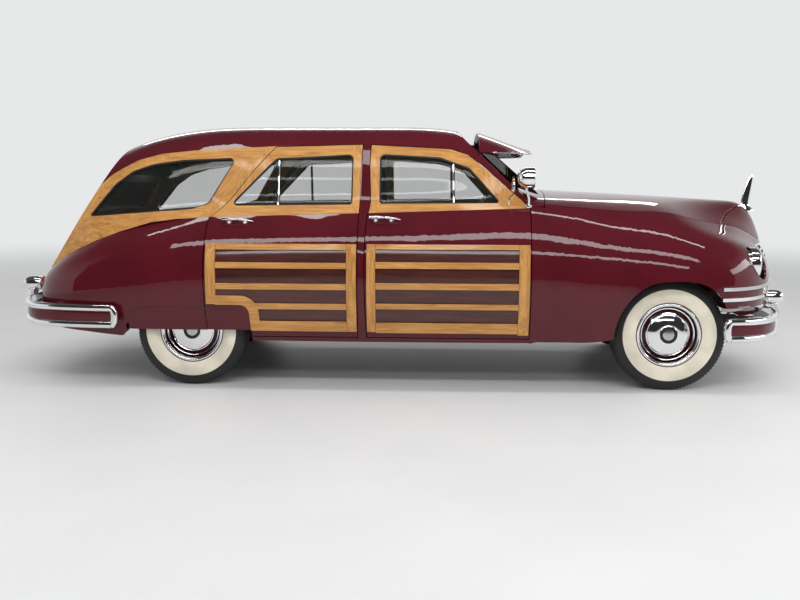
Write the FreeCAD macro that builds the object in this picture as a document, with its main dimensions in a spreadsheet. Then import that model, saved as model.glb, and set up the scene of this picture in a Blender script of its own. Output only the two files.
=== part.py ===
"""Wood-sided station wagon, full size, in millimetres.

+X points to the front of the car, +Y to its left and +Z up. The origin is on the ground, in the
middle of the overall length. Every driving dimension is a named cell of the sheet Sizes.
"""
import FreeCAD, Part
import Sketcher
import math
import os
import types

from FreeCAD import Placement, Rotation, Vector

SIDES = (("right", -1), ("left", 1))
X_AXIS = Vector(1, 0, 0)
Y_AXIS = Vector(0, 1, 0)
Z_AXIS = Vector(0, 0, 1)
FAR = 4000

SIZES = [
    # Overall
    ("front_axle_x", 1739.5, "front axle ahead of the origin"),
    ("wheelbase", 3048, "between the axles"),
    ("bumper_reach", 2598.5, "bumper guards' tips from the origin, front and rear"),
    ("panel_gap", 5.5, "shut line between panels that move apart"),
    ("seat_gap", 0.3, "clearance between fixed pieces that seat on each other"),
    # Walls
    ("door_wall", 90, "thickness of a whole lower door"),
    ("frame_wall", 42, "thickness of the window frames and pillars"),
    ("side_wall", 60, "thickness of the rear quarters"),
    ("fender_wall", 24, "thickness of the front fenders and hood"),
    ("slat_height", 14, "wood slats stand this far out of the doors"),
    ("glass_depth", 16, "glass behind the outer face of its frame"),
    ("glass_thickness", 6, "every pane"),
    # Doors, along the car
    ("front_door_front_x", 853, "leading edge of the front doors"),
    ("front_door_rear_x", -165, "trailing edge of the front doors"),
    ("rear_door_front_x", -227, "leading edge of the rear doors"),
    ("rear_door_rear_x", -1180, "trailing edge of the rear doors"),
    ("door_bottom_z", 336, "lower edge of the doors"),
    ("belt_front_z", 1150, "belt line at the front doors' leading edge"),
    ("belt_middle_z", 1116, "belt line at the pillar between the doors"),
    ("belt_rear_z", 1088, "belt line at the rear doors' trailing edge"),
    ("jamb_draft", 0.10, "slope of the doors' trailing faces across the car"),
    ("frame_draft", 0.34, "slope of the window frames' trailing faces across the car"),
    ("hinge_y", 990, "door hinge axes from the centre plane"),
    # Rear gates
    ("tail_x", -2130, "rear face at the belt line"),
    ("tail_z", 1090, "belt line at the rear face"),
    ("tail_lean", 33.4, "rear face from the vertical, in degrees"),
    ("tail_radius", 5200, "bulge of the rear face in plan"),
    ("gate_half_width", 600, "tailgate and liftgate from the centre plane"),
    ("gate_gap", 12, "gap between tailgate and liftgate"),
    ("tailgate_length", 446, "tailgate along the rear face"),
    ("liftgate_length", 352, "liftgate along the rear face"),
    ("gate_wall", 48, "thickness of both gates"),
    # Windscreen
    ("screen_x", 870, "windscreen at the centre plane, at screen_z"),
    ("screen_z", 1250, "height that screen_x is given at"),
    ("screen_lean", 47.3, "windscreen from the vertical, in degrees"),
    ("screen_sweep", 6.0, "each pane turned back in plan, in degrees"),
    # Hood
    ("hood_rear_x", 985, "hood's rear edge at the centre plane"),
    ("hood_front_z", 935, "hood's front edge over the grille"),
    ("hood_hinge_z", 1275, "hood hinge axis"),
    # Wheels
    ("track_front", 1516, "between the front tyres' middles"),
    ("track_rear", 1542, "between the rear tyres' middles"),
    ("tyre_radius", 357, "outside radius on the ground"),
    ("tyre_width", 193, "section width"),
    ("rim_radius", 196, "bead seat"),
    ("rim_width", 146, "between the rim's flanges"),
    ("hub_bore", 20, "wheel's bore on its spindle, radius"),
    ("bearing_gap", 0.05, "running clearance of the wheel bores, on the radius"),
    ("kingpin_offset", 118, "kingpin inboard of the tyre's middle"),
    ("brake_radius", 140, "drum brakes"),
    ("arch_half_length", 352, "front wheel opening, fore and aft of the axle"),
    ("headlamp_x", 2243, "back of the headlamps"),
    ("headlamp_y", 655, "headlamps from the centre plane"),
    ("headlamp_z", 800, "middle of the headlamps"),
    ("headlamp_radius", 104, "headlamp rims"),
    ("arch_height", 708, "top of the front wheel opening"),
    ("skirt_bottom_z", 374, "lower edge of the rear wheel skirts"),
    # Frame
    ("rail_half_spacing", 400, "frame rails from the centre plane"),
    ("rail_width", 70, "frame rail section, across"),
    ("rail_height", 130, "frame rail section, up"),
    ("rail_bottom_z", 230, "underside of the frame rails"),
    ("floor_thickness", 24, "floor pan"),
    ("wheelhouse_gap", 44, "wheel housing round the rear tyre"),
    ("wheelhouse_y", 918, "outer end of the space for the rear wheel"),
    ("frame_half_length", 2290, "frame rails fore and aft"),
    ("hitch_spacing_x", 70, "hitch bolts along the car"),
    ("hitch_spacing_y", 300, "hitch bolts across the car"),
    ("hitch_hole_radius", 6.5, "hitch bolt holes"),
    ("load_floor_z", 640, "underside of the load floor"),
    # Engine
    ("firewall_x", 1026, "rear face of the firewall"),
    ("engine_length", 900, "block with head and manifolds"),
    ("engine_width", 420, "block with head and manifolds"),
    ("engine_height", 560, "block with head and sump"),
    ("engine_front_x", 2080, "front face of the block"),
    ("engine_bottom_z", 380, "underside of the block"),
    # Cabin
    ("front_seat_half_width", 640, "front bench from the centre plane"),
    ("rear_seat_half_width", 600, "rear bench from the centre plane, between the wheel housings"),
    ("cushion_thickness", 190, "bench cushions"),
    ("backrest_thickness", 150, "bench backrests"),
    ("front_cushion_x", 120, "rear edge of the front cushion"),
    ("rear_cushion_x", -825, "rear edge of the rear cushion"),
    ("cushion_length", 500, "both cushions, fore and aft"),
    ("cushion_top_z", 700, "seating height"),
    ("backrest_top_z", 1130, "top of the backrests"),
    ("steering_wheel_radius", 222, "rim's middle line"),
    ("steering_wheel_y", 380, "steering column from the centre plane"),
    # Bumpers
    ("bumper_height", 150, "blades with the painted band between them"),
    ("front_bumper_z", 405, "middle of the front bumper"),
    ("rear_bumper_z", 462, "middle of the rear bumper"),
]

doc = FreeCAD.newDocument("StationWagon")


def make_sheet():
    """Write the sizes into the sheet and return them as plain numbers."""
    sheet = doc.addObject("Spreadsheet::Sheet", "Sizes")
    for row, (name, value, note) in enumerate(SIZES, start=1):
        sheet.set(f"A{row}", name)
        sheet.set(f"B{row}", str(value))
        sheet.setAlias(f"B{row}", name)
        sheet.set(f"C{row}", note)
    doc.recompute()
    return types.SimpleNamespace(**{name: float(sheet.get(name)) for name, _, _ in SIZES})


size = make_sheet()
rear_axle_x = size.front_axle_x - size.wheelbase
NODES = {}


# Helpers for documents, outlines and solids

def keep(node, obj):
    """Give an object its node's name and remember it as a piece of the car."""
    obj.Label = node
    NODES[node] = obj
    return obj


def bind(obj, formulas):
    """Tie properties of an object to cells of the sheet."""
    for name, formula in formulas.items():
        obj.setExpression(name, formula)
    return obj


def part_feature(node, solids):
    """Keep a piece whose shape is built with Part's functions."""
    solids = [solid for shape in solids for solid in shape.Solids if solid.Volume > 500]
    obj = doc.addObject("Part::Feature", node + "_piece")
    obj.Shape = solids[0] if len(solids) == 1 else Part.makeCompound(solids)
    return keep(node, obj)


def mirrored(shape):
    """The same shape on the other side of the car."""
    return shape.mirror(Vector(0, 0, 0), Y_AXIS)


def box(low, high):
    """Block between two corners."""
    return Part.makeBox(high[0] - low[0], high[1] - low[1], high[2] - low[2], Vector(*low))


def fused(shapes):
    """One solid from several that overlap."""
    return shapes[0].multiFuse(list(shapes[1:])).removeSplitter()


def grown(points, distance):
    """A polygon in the side view with every edge moved outwards."""
    area = sum(a[0] * b[1] - b[0] * a[1] for a, b in zip(points, points[1:] + points[:1]))
    turn = 1 if area > 0 else -1
    lines = []
    for a, b in zip(points, points[1:] + points[:1]):
        length = math.hypot(b[0] - a[0], b[1] - a[1])
        nx, nz = turn * (b[1] - a[1]) / length, -turn * (b[0] - a[0]) / length
        lines.append((nx, nz, nx * a[0] + nz * a[1] + distance))
    result = []
    for (a1, b1, c1), (a2, b2, c2) in zip(lines[-1:] + lines[:-1], lines):
        det = a1 * b2 - a2 * b1
        result.append(((c1 * b2 - c2 * b1) / det, (a1 * c2 - a2 * c1) / det))
    return result


def rounded_wire(points, radii, place):
    """Closed wire round a polygon whose corners are arcs; place turns a pair into a Vector."""
    count = len(points)
    edges = []
    ends = []
    for index in range(count):
        before, here, after = points[index - 1], points[index], points[(index + 1) % count]
        back = Vector(before[0] - here[0], before[1] - here[1], 0).normalize()
        ahead = Vector(after[0] - here[0], after[1] - here[1], 0).normalize()
        radius = radii[index]
        if radius == 0:
            ends.append((here, here))
            continue
        half = math.acos(max(-1, min(1, back.dot(ahead)))) / 2
        cut = radius / math.tan(half)
        start = (here[0] + back.x * cut, here[1] + back.y * cut)
        end = (here[0] + ahead.x * cut, here[1] + ahead.y * cut)
        middle_way = (back + ahead).normalize()
        reach = radius / math.sin(half) - radius
        middle = (here[0] + middle_way.x * reach, here[1] + middle_way.y * reach)
        edges.append(Part.Arc(place(start), place(middle), place(end)).toShape())
        ends.append((start, end))
    for index in range(count):
        start, end = ends[index][1], ends[(index + 1) % count][0]
        if math.dist(start, end) > 0.01:
            edges.append(Part.LineSegment(place(start), place(end)).toShape())
    return Part.Wire(Part.__sortEdges__(edges))


def side_prism(points, radii, y_low, y_high):
    """Side-view outline pushed across the car."""
    wire = rounded_wire(points, radii, lambda p: Vector(p[0], y_low, p[1]))
    return Part.Face(wire).extrude(Vector(0, y_high - y_low, 0))


def plan_prism(points, radii, z_low, z_high):
    """Plan-view outline pushed upwards."""
    wire = rounded_wire(points, radii, lambda p: Vector(p[0], p[1], z_low))
    return Part.Face(wire).extrude(Vector(0, 0, z_high - z_low))


def front_prism(points, radii, x_low, x_high):
    """Front-view outline pushed along the car."""
    wire = rounded_wire(points, radii, lambda p: Vector(x_low, p[0], p[1]))
    return Part.Face(wire).extrude(Vector(x_high - x_low, 0, 0))


def section_wire(x, half, inset):
    """Closed section across the car: a spline over the top and a straight bottom.

    half runs from the bottom edge up the right side to the middle of the top.
    inset moves each point inwards; it is a number or a function of the height.
    """
    points = []
    last = len(half) - 1
    for index, (y, z) in enumerate(half):
        before = half[max(index - 1, 0)]
        after = half[index + 1] if index < last else (-half[last - 1][0], half[last - 1][1])
        along = Vector(after[0] - before[0], after[1] - before[1], 0).normalize()
        depth = inset(z) if callable(inset) else inset
        points.append((y - depth * along.y, z + depth * along.x))
    right = [Vector(x, -y, z) for y, z in points]
    left = [Vector(x, y, z) for y, z in reversed(points[:-1])]
    top = Part.BSplineCurve()
    top.interpolate(right + left)
    bottom = Part.LineSegment(left[-1], right[0])
    return Part.Wire([top.toShape(), bottom.toShape()])


def steady_slopes(xs, ys):
    """Slopes for a curve through the values that never overshoots them."""
    steps = [(y1 - y0) / (x1 - x0) for x0, x1, y0, y1 in zip(xs, xs[1:], ys, ys[1:])]
    slopes = [steps[0]]
    for before, after in zip(steps, steps[1:]):
        slopes.append(0 if before * after <= 0 else 2 * before * after / (before + after))
    return slopes + [steps[-1]]


def steady_value(xs, ys, x):
    """Value at x of the curve through (xs, ys)."""
    slopes = steady_slopes(xs, ys)
    index = max(i for i in range(len(xs) - 1) if x >= xs[i] or i == 0)
    width = xs[index + 1] - xs[index]
    t = (x - xs[index]) / width
    return ((2 * t**3 - 3 * t**2 + 1) * ys[index] + (t**3 - 2 * t**2 + t) * width * slopes[index]
            + (3 * t**2 - 2 * t**3) * ys[index + 1] + (t**3 - t**2) * width * slopes[index + 1])


def section_at(table, x):
    """Half section of a body at x, between its key sections."""
    rows = sorted(table)
    xs = [row[0] for row in rows]
    half = []
    for index in range(len(rows[0][1])):
        y = steady_value(xs, [row[1][index][0] for row in rows], x)
        z = steady_value(xs, [row[1][index][1] for row in rows], x)
        half.append((y, z))
    return half


def spread(start, end, count, power=1.0):
    """Places from start to end; a power over 1 crowds them at the start."""
    return [start + (end - start) * (index / (count - 1)) ** power for index in range(count)]


def loft(table, places, inset):
    """Smooth solid through a body's sections at some places along the car."""
    wires = [section_wire(x, section_at(table, x), inset) for x in places]
    return Part.makeLoft(wires, True, False)


# Body forms

def lower_stations():
    """Sections of the lower body, nose to tail: the x and eight points from sill to middle.

    The points are the sill, the lower side, the widest line, the upper side, the shoulder's
    start, the belt or fender top, the hood's side and the middle.
    """
    front = size.front_axle_x
    rear = rear_axle_x
    door = size.front_door_front_x
    pillar = size.front_door_rear_x
    return [
        (front + 832, [(88, 560), (97, 600), (100, 640), (95, 700), (80, 738), (55, 762),
                       (28, 777), (0, 786)]),
        (front + 805, [(232, 530), (247, 590), (252, 650), (242, 730), (200, 792), (140, 840),
                       (70, 890), (0, 930)]),
        (front + 755, [(388, 510), (404, 580), (410, 650), (395, 742), (330, 818), (230, 880),
                       (120, 970), (0, 1070)]),
        (front + 685, [(540, 500), (560, 570), (570, 650), (550, 750), (480, 838), (335, 905),
                       (180, 1010), (0, 1160)]),
        (front + 590, [(690, 490), (715, 560), (725, 650), (702, 765), (618, 868), (445, 935),
                       (240, 1055), (0, 1187)]),
        (front + 460, [(800, 480), (835, 550), (850, 650), (822, 785), (735, 893), (545, 970),
                       (300, 1090), (0, 1197)]),
        (front + 310, [(850, 465), (895, 550), (915, 660), (888, 805), (795, 925), (600, 1008),
                       (345, 1118), (0, 1206)]),
        (front, [(868, 420), (924, 520), (948, 660), (930, 805), (868, 940), (705, 1080),
                 (425, 1178), (0, 1226)]),
        (front - 440, [(880, 320), (932, 450), (961, 650), (950, 810), (900, 955), (768, 1108),
                       (475, 1208), (0, 1248)]),
        (door + 45, [(886, 305), (938, 450), (967, 650), (962, 820), (917, 975),
                     (815, size.belt_front_z - 8), (540, 1225), (0, 1264)]),
        (pillar, [(890, 302), (940, 450), (970, 650), (965, 825), (917, 980),
                  (815, size.belt_middle_z), (540, 1190), (0, 1230)]),
        (rear + 130, [(890, 305), (940, 450), (970, 650), (962, 820), (913, 965),
                      (815, size.belt_rear_z), (540, 1150), (0, 1190)]),
        (rear - 390, [(880, 322), (930, 450), (955, 640), (938, 790), (882, 915),
                      (780, 1008), (500, 1060), (0, 1080)]),
        (rear - 690, [(850, 345), (890, 450), (905, 600), (890, 720), (838, 828),
                      (735, 908), (460, 955), (0, 970)]),
        (rear - 890, [(790, 362), (820, 460), (830, 580), (815, 680), (768, 760),
                      (675, 815), (420, 850), (0, 862)]),
        (rear - 1020, [(700, 382), (720, 460), (728, 560), (715, 640), (668, 700),
                       (582, 735), (370, 758), (0, 766)]),
        (rear - 1090, [(575, 400), (590, 465), (596, 550), (582, 612), (540, 655),
                       (465, 680), (290, 700), (0, 708)]),
        (rear - 1125, [(440, 420), (455, 475), (460, 540), (450, 590), (412, 622),
                       (350, 640), (220, 652), (0, 658)]),
    ]


def cabin_stations():
    """Sections of the cabin, front to tail: the x and eight points from belt to roof middle."""
    front = size.screen_x
    rear = size.tail_x
    return [
        (front + 130, [(820, 1085), (785, 1140), (738, 1195), (690, 1280), (622, 1360),
                       (530, 1420), (330, 1480), (0, 1502)]),
        (front - 220, [(842, 1080), (808, 1136), (758, 1190), (706, 1320), (640, 1425),
                       (556, 1500), (345, 1572), (0, 1598)]),
        (front - 470, [(848, 1065), (813, 1125), (765, 1180), (724, 1330), (676, 1468),
                       (606, 1560), (380, 1645), (0, 1672)]),
        (front - 870, [(850, 1040), (815, 1110), (767, 1172), (730, 1330), (688, 1480),
                       (632, 1582), (400, 1670), (0, 1697)]),
        (rear + 1130, [(850, 1020), (815, 1095), (766, 1160), (730, 1320), (688, 1475),
                       (630, 1578), (400, 1670), (0, 1697)]),
        (rear + 770, [(846, 990), (811, 1075), (764, 1150), (726, 1300), (682, 1445),
                      (622, 1548), (395, 1648), (0, 1682)]),
        (rear + 430, [(822, 920), (788, 1020), (750, 1120), (711, 1250), (662, 1380),
                      (602, 1480), (375, 1582), (0, 1618)]),
        (rear + 230, [(778, 860), (752, 955), (722, 1065), (686, 1190), (640, 1310),
                      (578, 1402), (352, 1503), (0, 1538)]),
        (rear + 30, [(722, 770), (705, 850), (682, 950), (655, 1060), (612, 1170),
                     (548, 1262), (332, 1365), (0, 1400)]),
        (rear - 170, [(655, 660), (643, 730), (626, 815), (602, 905), (562, 995),
                      (498, 1075), (305, 1165), (0, 1198)]),
        (rear - 320, [(590, 560), (580, 620), (565, 690), (543, 765), (506, 840),
                      (448, 910), (270, 985), (0, 1015)]),
    ]


LOWER = lower_stations()
CABIN = cabin_stations()
NOSE_X = LOWER[0][0]
STERN_X = LOWER[-1][0]
DOOR_PLACES = spread(size.rear_door_rear_x - 240, size.front_door_front_x + 150, 9)
FRONT_PLACES = spread(NOSE_X, size.front_door_front_x - 250, 13, 1.7)
REAR_PLACES = spread(STERN_X, size.rear_door_rear_x + 400, 12, 1.6)
CABIN_PLACES = spread(CABIN[0][0], CABIN[-1][0], 12)


lean = math.radians(size.tail_lean)
DOWN_TAIL = Vector(-math.sin(lean), 0, -math.cos(lean))
INTO_TAIL = Vector(math.cos(lean), 0, -math.sin(lean))
TAIL_POINT = Vector(size.tail_x, 0, size.tail_z)


def tail_keep(inset):
    """Everything ahead of the bulged rear face, moved inwards by inset."""
    radius = size.tail_radius - inset
    base = TAIL_POINT + INTO_TAIL * size.tail_radius - DOWN_TAIL * FAR
    return Part.makeCylinder(radius, 2 * FAR, base, DOWN_TAIL)


def screen_side(side, inset):
    """Everything behind one windscreen pane's plane, moved inwards by inset."""
    sweep = math.radians(size.screen_sweep)
    slope = math.radians(size.screen_lean)
    up = Vector(-math.sin(slope), 0, math.cos(slope))
    across = Vector(-math.sin(sweep), side * math.cos(sweep), 0)
    out = across.cross(up) * side
    out.normalize()
    point = Vector(size.screen_x, 0, size.screen_z) - out * inset
    corners = [point - up * FAR - across * FAR, point + up * FAR - across * FAR,
               point + up * FAR + across * FAR, point - up * FAR + across * FAR]
    face = Part.Face(Part.makePolygon(corners + corners[:1]))
    return face.extrude(out * -FAR * 2)


def cabin_form(inset):
    """Cabin with its rear face and its two windscreen planes."""
    form = loft(CABIN, CABIN_PLACES, inset)
    form = form.common(tail_keep(inset))
    for _, side in SIDES:
        form = form.common(screen_side(side, inset))
    return form


def skin_y(z):
    """Outer face of the body at a height, from the centre plane, beside the doors."""
    heights = ((300, 890), (650, 970), (825, 965), (980, 917), (1116, 815), (1172, 767),
               (1330, 730), (1480, 688), (1582, 632))
    for (z_low, y_low), (z_high, y_high) in zip(heights, heights[1:]):
        if z <= z_high:
            return y_low + (y_high - y_low) * (z - z_low) / (z_high - z_low)
    return heights[-1][1]


def drafted_prism(points, drafts, grow, y_near=500, y_far=1150):
    """Side-view outline on the right side whose edges slope across the car.

    Each corner lies on the body's outer face and moves forward by its draft for every
    millimetre inwards.
    """
    outline = grown(points, grow)
    wires = []
    for y in (y_far, y_near):
        ring = []
        for (x, z), draft in zip(outline, drafts):
            ring.append(Vector(x + draft * (skin_y(z) - y), -y, z))
        wires.append(Part.makePolygon(ring + ring[:1]))
    return Part.makeLoft(wires, True, True)


# Outlines of the doors and windows in the side view

def belt_z(x):
    """Height of the belt line."""
    spans = ((size.rear_door_rear_x, size.belt_rear_z), (size.front_door_rear_x, size.belt_middle_z),
             (size.front_door_front_x, size.belt_front_z))
    (x0, z0), (x1, z1), (x2, z2) = spans
    if x < x1:
        return z0 + (z1 - z0) * (x - x0) / (x1 - x0)
    return z1 + (z2 - z1) * (x - x1) / (x2 - x1)


def door_outlines():
    """Lower panel, upper frame and window of each door on the side view."""
    f_front, f_rear = size.front_door_front_x, size.front_door_rear_x
    r_front, r_rear = size.rear_door_front_x, size.rear_door_rear_x
    low = size.door_bottom_z
    draft, steep = size.jamb_draft, size.frame_draft
    return {
        "front": {
            "lower": ([(f_rear, low), (f_front, low), (f_front, belt_z(f_front)),
                       (f_rear, belt_z(f_rear))], [draft, 0, 0, draft]),
            "upper": ([(f_rear, belt_z(f_rear)), (f_front, belt_z(f_front)),
                       (f_front - 52, 1203), (f_front - 311, 1424), (f_front - 390, 1486),
                       (f_front - 500, 1522), (f_rear + 14, 1547)],
                      [steep, 0, 0, 0, 0, 0, steep]),
            "window": ([(f_rear + 66, 1174), (f_front - 176, 1180), (f_front - 378, 1403),
                        (f_front - 567, 1470), (f_rear + 66, 1490)], [22, 14, 60, 60, 34]),
        },
        "rear": {
            "lower": ([(r_rear, low), (r_front, low), (r_front, belt_z(r_front)),
                       (r_rear, belt_z(r_rear))], [draft, 0, 0, draft]),
            "upper": ([(r_rear, belt_z(r_rear)), (r_front, belt_z(r_front)),
                       (r_front + 14, 1549), (r_rear + 412, 1534)], [steep * 1.5, 0, 0, steep * 1.5]),
            "window": ([(r_rear + 112, 1158), (r_front - 44, 1168), (r_front - 40, 1488),
                        (r_rear + 412, 1462)], [22, 22, 34, 50]),
        },
    }


def quarter_window():
    """Outline of the quarter window in the side view."""
    rear = size.tail_x
    return ([(rear + 110, 1082), (rear + 820, 1136), (rear + 930, 1170), (rear + 1094, 1440),
             (rear + 1070, 1464), (rear + 733, 1450), (rear + 546, 1424), (rear + 410, 1380),
             (rear + 290, 1296)], [10, 60, 40, 26, 16, 300, 250, 180, 160])


def roof_line():
    """Lower edge of the steel roof in the side view, from the tail to the screen."""
    front = size.screen_x
    rear = size.tail_x
    return [(rear + 190, 1300), (rear + 250, 1350), (rear + 324, 1393), (rear + 440, 1451), (rear + 597, 1491),
            (rear + 820, 1512), (rear + 1058, 1524), (rear + 1352, 1540), (size.rear_door_front_x, 1552),
            (size.front_door_rear_x, 1552), (front - 489, 1515)]


# Panels

def tail_block(points, radii, grow=0, depth=400):
    """Outline drawn on the rear face (across, down the face), pushed through it."""
    outline = grown(points, grow)
    wire = rounded_wire(outline, radii, lambda p: TAIL_POINT + Y_AXIS * p[0] + DOWN_TAIL * p[1]
                        - INTO_TAIL * (depth / 2))
    return Part.Face(wire).extrude(INTO_TAIL * depth)


def tailgate_outline():
    """Tailgate on the rear face."""
    half, top, bottom = size.gate_half_width, size.gate_gap / 2, size.tailgate_length
    return [(-half, top), (half, top), (half - 30, bottom), (-half + 30, bottom)], [8, 8, 50, 50]


def liftgate_outline():
    """Liftgate on the rear face."""
    half, top, bottom = size.gate_half_width, -size.liftgate_length, -size.gate_gap / 2
    return [(-half, bottom), (-half + 75, top), (half - 75, top), (half, bottom)], [8, 60, 60, 8]


def liftgate_window():
    """Opening of the liftgate on the rear face."""
    half, top, bottom = size.gate_half_width, -size.liftgate_length, -size.gate_gap / 2
    return ([(-half + 62, bottom - 58), (-half + 125, top + 58), (half - 125, top + 58),
             (half - 62, bottom - 58)], [36, 60, 60, 36])


def trough_wire(x, half, wall):
    """Section of the space beside and over the cabin floor: splines up the sides, open upwards."""
    sides = []
    for index in range(6):
        y, z = half[index]
        before, after = half[max(index - 1, 0)], half[index + 1]
        along = Vector(after[0] - before[0], after[1] - before[1], 0).normalize()
        sides.append((y - wall * along.y, z + wall * along.x))
    sides[0] = (sides[0][0], sides[0][1] - 90)
    right = [Vector(x, -y, z) for y, z in sides]
    left = [Vector(x, y, z) for y, z in reversed(sides)]
    edges = []
    for points in (right, left):
        curve = Part.BSplineCurve()
        curve.interpolate(points)
        edges.append(curve.toShape())
    top_right, top_left = Vector(x, right[-1].y, 1700), Vector(x, left[0].y, 1700)
    return Part.Wire([edges[0], Part.LineSegment(right[-1], top_right).toShape(),
                      Part.LineSegment(top_right, top_left).toShape(),
                      Part.LineSegment(top_left, left[0]).toShape(), edges[1],
                      Part.LineSegment(left[-1], right[0]).toShape()])


def side_hollow(places, wall):
    """Space inside the lower body beside the cabin, open upwards."""
    wires = [trough_wire(x, section_at(LOWER, x), wall) for x in places]
    return Part.makeLoft(wires, True, False)


def steel_line():
    """Upper edge of the steel quarters in the side view, from the rear door to the tail."""
    rear = size.tail_x
    return [(size.rear_door_rear_x + 20, size.belt_rear_z), (rear + 725, 1073), (rear + 556, 1050),
            (rear + 351, 990), (rear + 180, 930), (rear + 40, 871), (rear - 47, 822), (rear - 400, 610)]


def below(line, low, drop):
    """Side-view region under a line."""
    return [(line[0][0], low)] + [(x, z - drop) for x, z in line] + [(line[-1][0], low)]


def both(shape):
    """The right-hand shape and its mirror image."""
    return [shape, mirrored(shape)]


def slat_outlines():
    """Wooden strips on the lower doors in the side view."""
    f_front, f_rear = size.front_door_front_x, size.front_door_rear_x
    r_front, r_rear = size.rear_door_front_x, size.rear_door_rear_x
    low, high = size.door_bottom_z + 38, 928
    front = [[(f_rear + 2, low), (f_rear + 56, low), (f_rear + 56, high), (f_rear + 2, high)],
             [(f_front - 72, low - 14), (f_front - 6, low - 14), (f_front - 6, high), (f_front - 72, high)]]
    for z_low, z_high in ((low - 6, 436), (524, 560), (650, 690), (780, 820), (898, high)):
        front.append([(f_rear + 56, z_low), (f_front - 72, z_low), (f_front - 72, z_high),
                      (f_rear + 56, z_high)])
    rear = [[(r_front - 62, low), (r_front - 2, low), (r_front - 2, high), (r_front - 62, high)],
            [(r_rear + 4, 548), (r_rear + 66, 548), (r_rear + 66, high), (r_rear + 4, high)]]
    for z_low, z_high, start in ((low, 440, 300), (518, 556, 302), (644, 682, 66), (776, 813, 66),
                                 (892, high, 66)):
        rear.append([(r_rear + start, z_low), (r_front - 62, z_low), (r_front - 62, z_high),
                     (r_rear + start, z_high)])
    return front, rear


def curved_strip():
    """Strip on the rear door that follows the rear wheel opening."""
    x = size.rear_door_rear_x
    low = size.door_bottom_z + 38
    return ([(x + 60, 544), (x + 60, 604), (x + 330, 604), (x + 340, low), (x + 278, low),
             (x + 272, 544)], [0, 0, 118, 0, 0, 62])


def wheel_space(side):
    """Room for a rear wheel, its housing and some clearance round it."""
    radius = size.tyre_radius + size.wheelhouse_gap + 8
    return Part.makeCylinder(radius, size.wheelhouse_y, Vector(rear_axle_x, 0, size.tyre_radius), Y_AXIS * side)


def make_sides():
    """Doors, their frames and glass, rear quarters, quarter wood and pillars, right and left."""
    gap, fit = size.panel_gap, size.seat_gap
    right_side = box((-FAR, -FAR, 200), (FAR, -400, 1500))
    wood_side = box((-FAR, -FAR, 300), (FAR, -600, 1000))
    wood_skin = loft(LOWER, DOOR_PLACES, -size.slat_height).common(wood_side)
    wood_skin = wood_skin.cut(loft(LOWER, DOOR_PLACES, -fit))
    shell = loft(LOWER, DOOR_PLACES, 0).common(right_side).cut(wheel_space(-1))
    shell = shell.cut(side_hollow(spread(DOOR_PLACES[0] - 5, DOOR_PLACES[-1] + 5, 9), size.door_wall))

    deep_table = [(x, [(half[0][0], half[0][1] - 160)] + half[1:]) for x, half in CABIN]
    hollow = loft(deep_table, CABIN_PLACES, size.frame_wall)
    hollow = hollow.common(tail_keep(size.gate_wall))
    for _, side in SIDES:
        hollow = hollow.common(screen_side(side, size.frame_wall))
    cabin = cabin_form(0).cut(hollow)
    half_space = box((-3000, -1200, 0), (2000, 0, 2200))
    cabin_side = cabin.common(half_space)

    pane = loft(CABIN, CABIN_PLACES, size.glass_depth).common(half_space)
    pane = pane.cut(loft(CABIN, CABIN_PLACES, size.glass_depth + size.glass_thickness))

    outlines = door_outlines()
    slats = slat_outlines()
    static_lower = shell
    static_upper = cabin_side
    for index, (end, parts) in enumerate(outlines.items()):
        steel = shell.common(drafted_prism(*parts["lower"], 0))
        wood_points = [(x, z + (fit if z < 1160 and i < 2 else 0))
                       for i, (x, z) in enumerate(parts["upper"][0])]
        frame = cabin_side.common(drafted_prism(wood_points, parts["upper"][1], 0))
        frame = frame.cut([side_prism(*parts["window"], -1200, -400), drafted_prism(*parts["lower"], fit)])
        pieces = []
        for outline in slats[index]:
            pieces.append(side_prism(outline, [0] * 4, -1200, -600))
        if end == "rear":
            pieces.append(side_prism(*curved_strip(), -1200, -600))
        strips = wood_skin.common(fused(pieces))
        small = grown(parts["window"][0], -fit)
        glass = pane.common(side_prism(small, parts["window"][1], -1200, -400))
        for side_name, side in SIDES:
            turn = mirrored if side > 0 else (lambda shape: shape)
            node = f"door_{end}_{side_name}"
            part_feature(node, [turn(steel)])
            part_feature(node + "_wood", [turn(frame), turn(strips)])
            part_feature(node + "_glass", [turn(glass)])
        static_lower = static_lower.cut(drafted_prism(*parts["lower"], gap))
        static_upper = static_upper.cut(drafted_prism(*parts["upper"], gap))
    return static_lower, static_upper, cabin, pane


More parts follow.
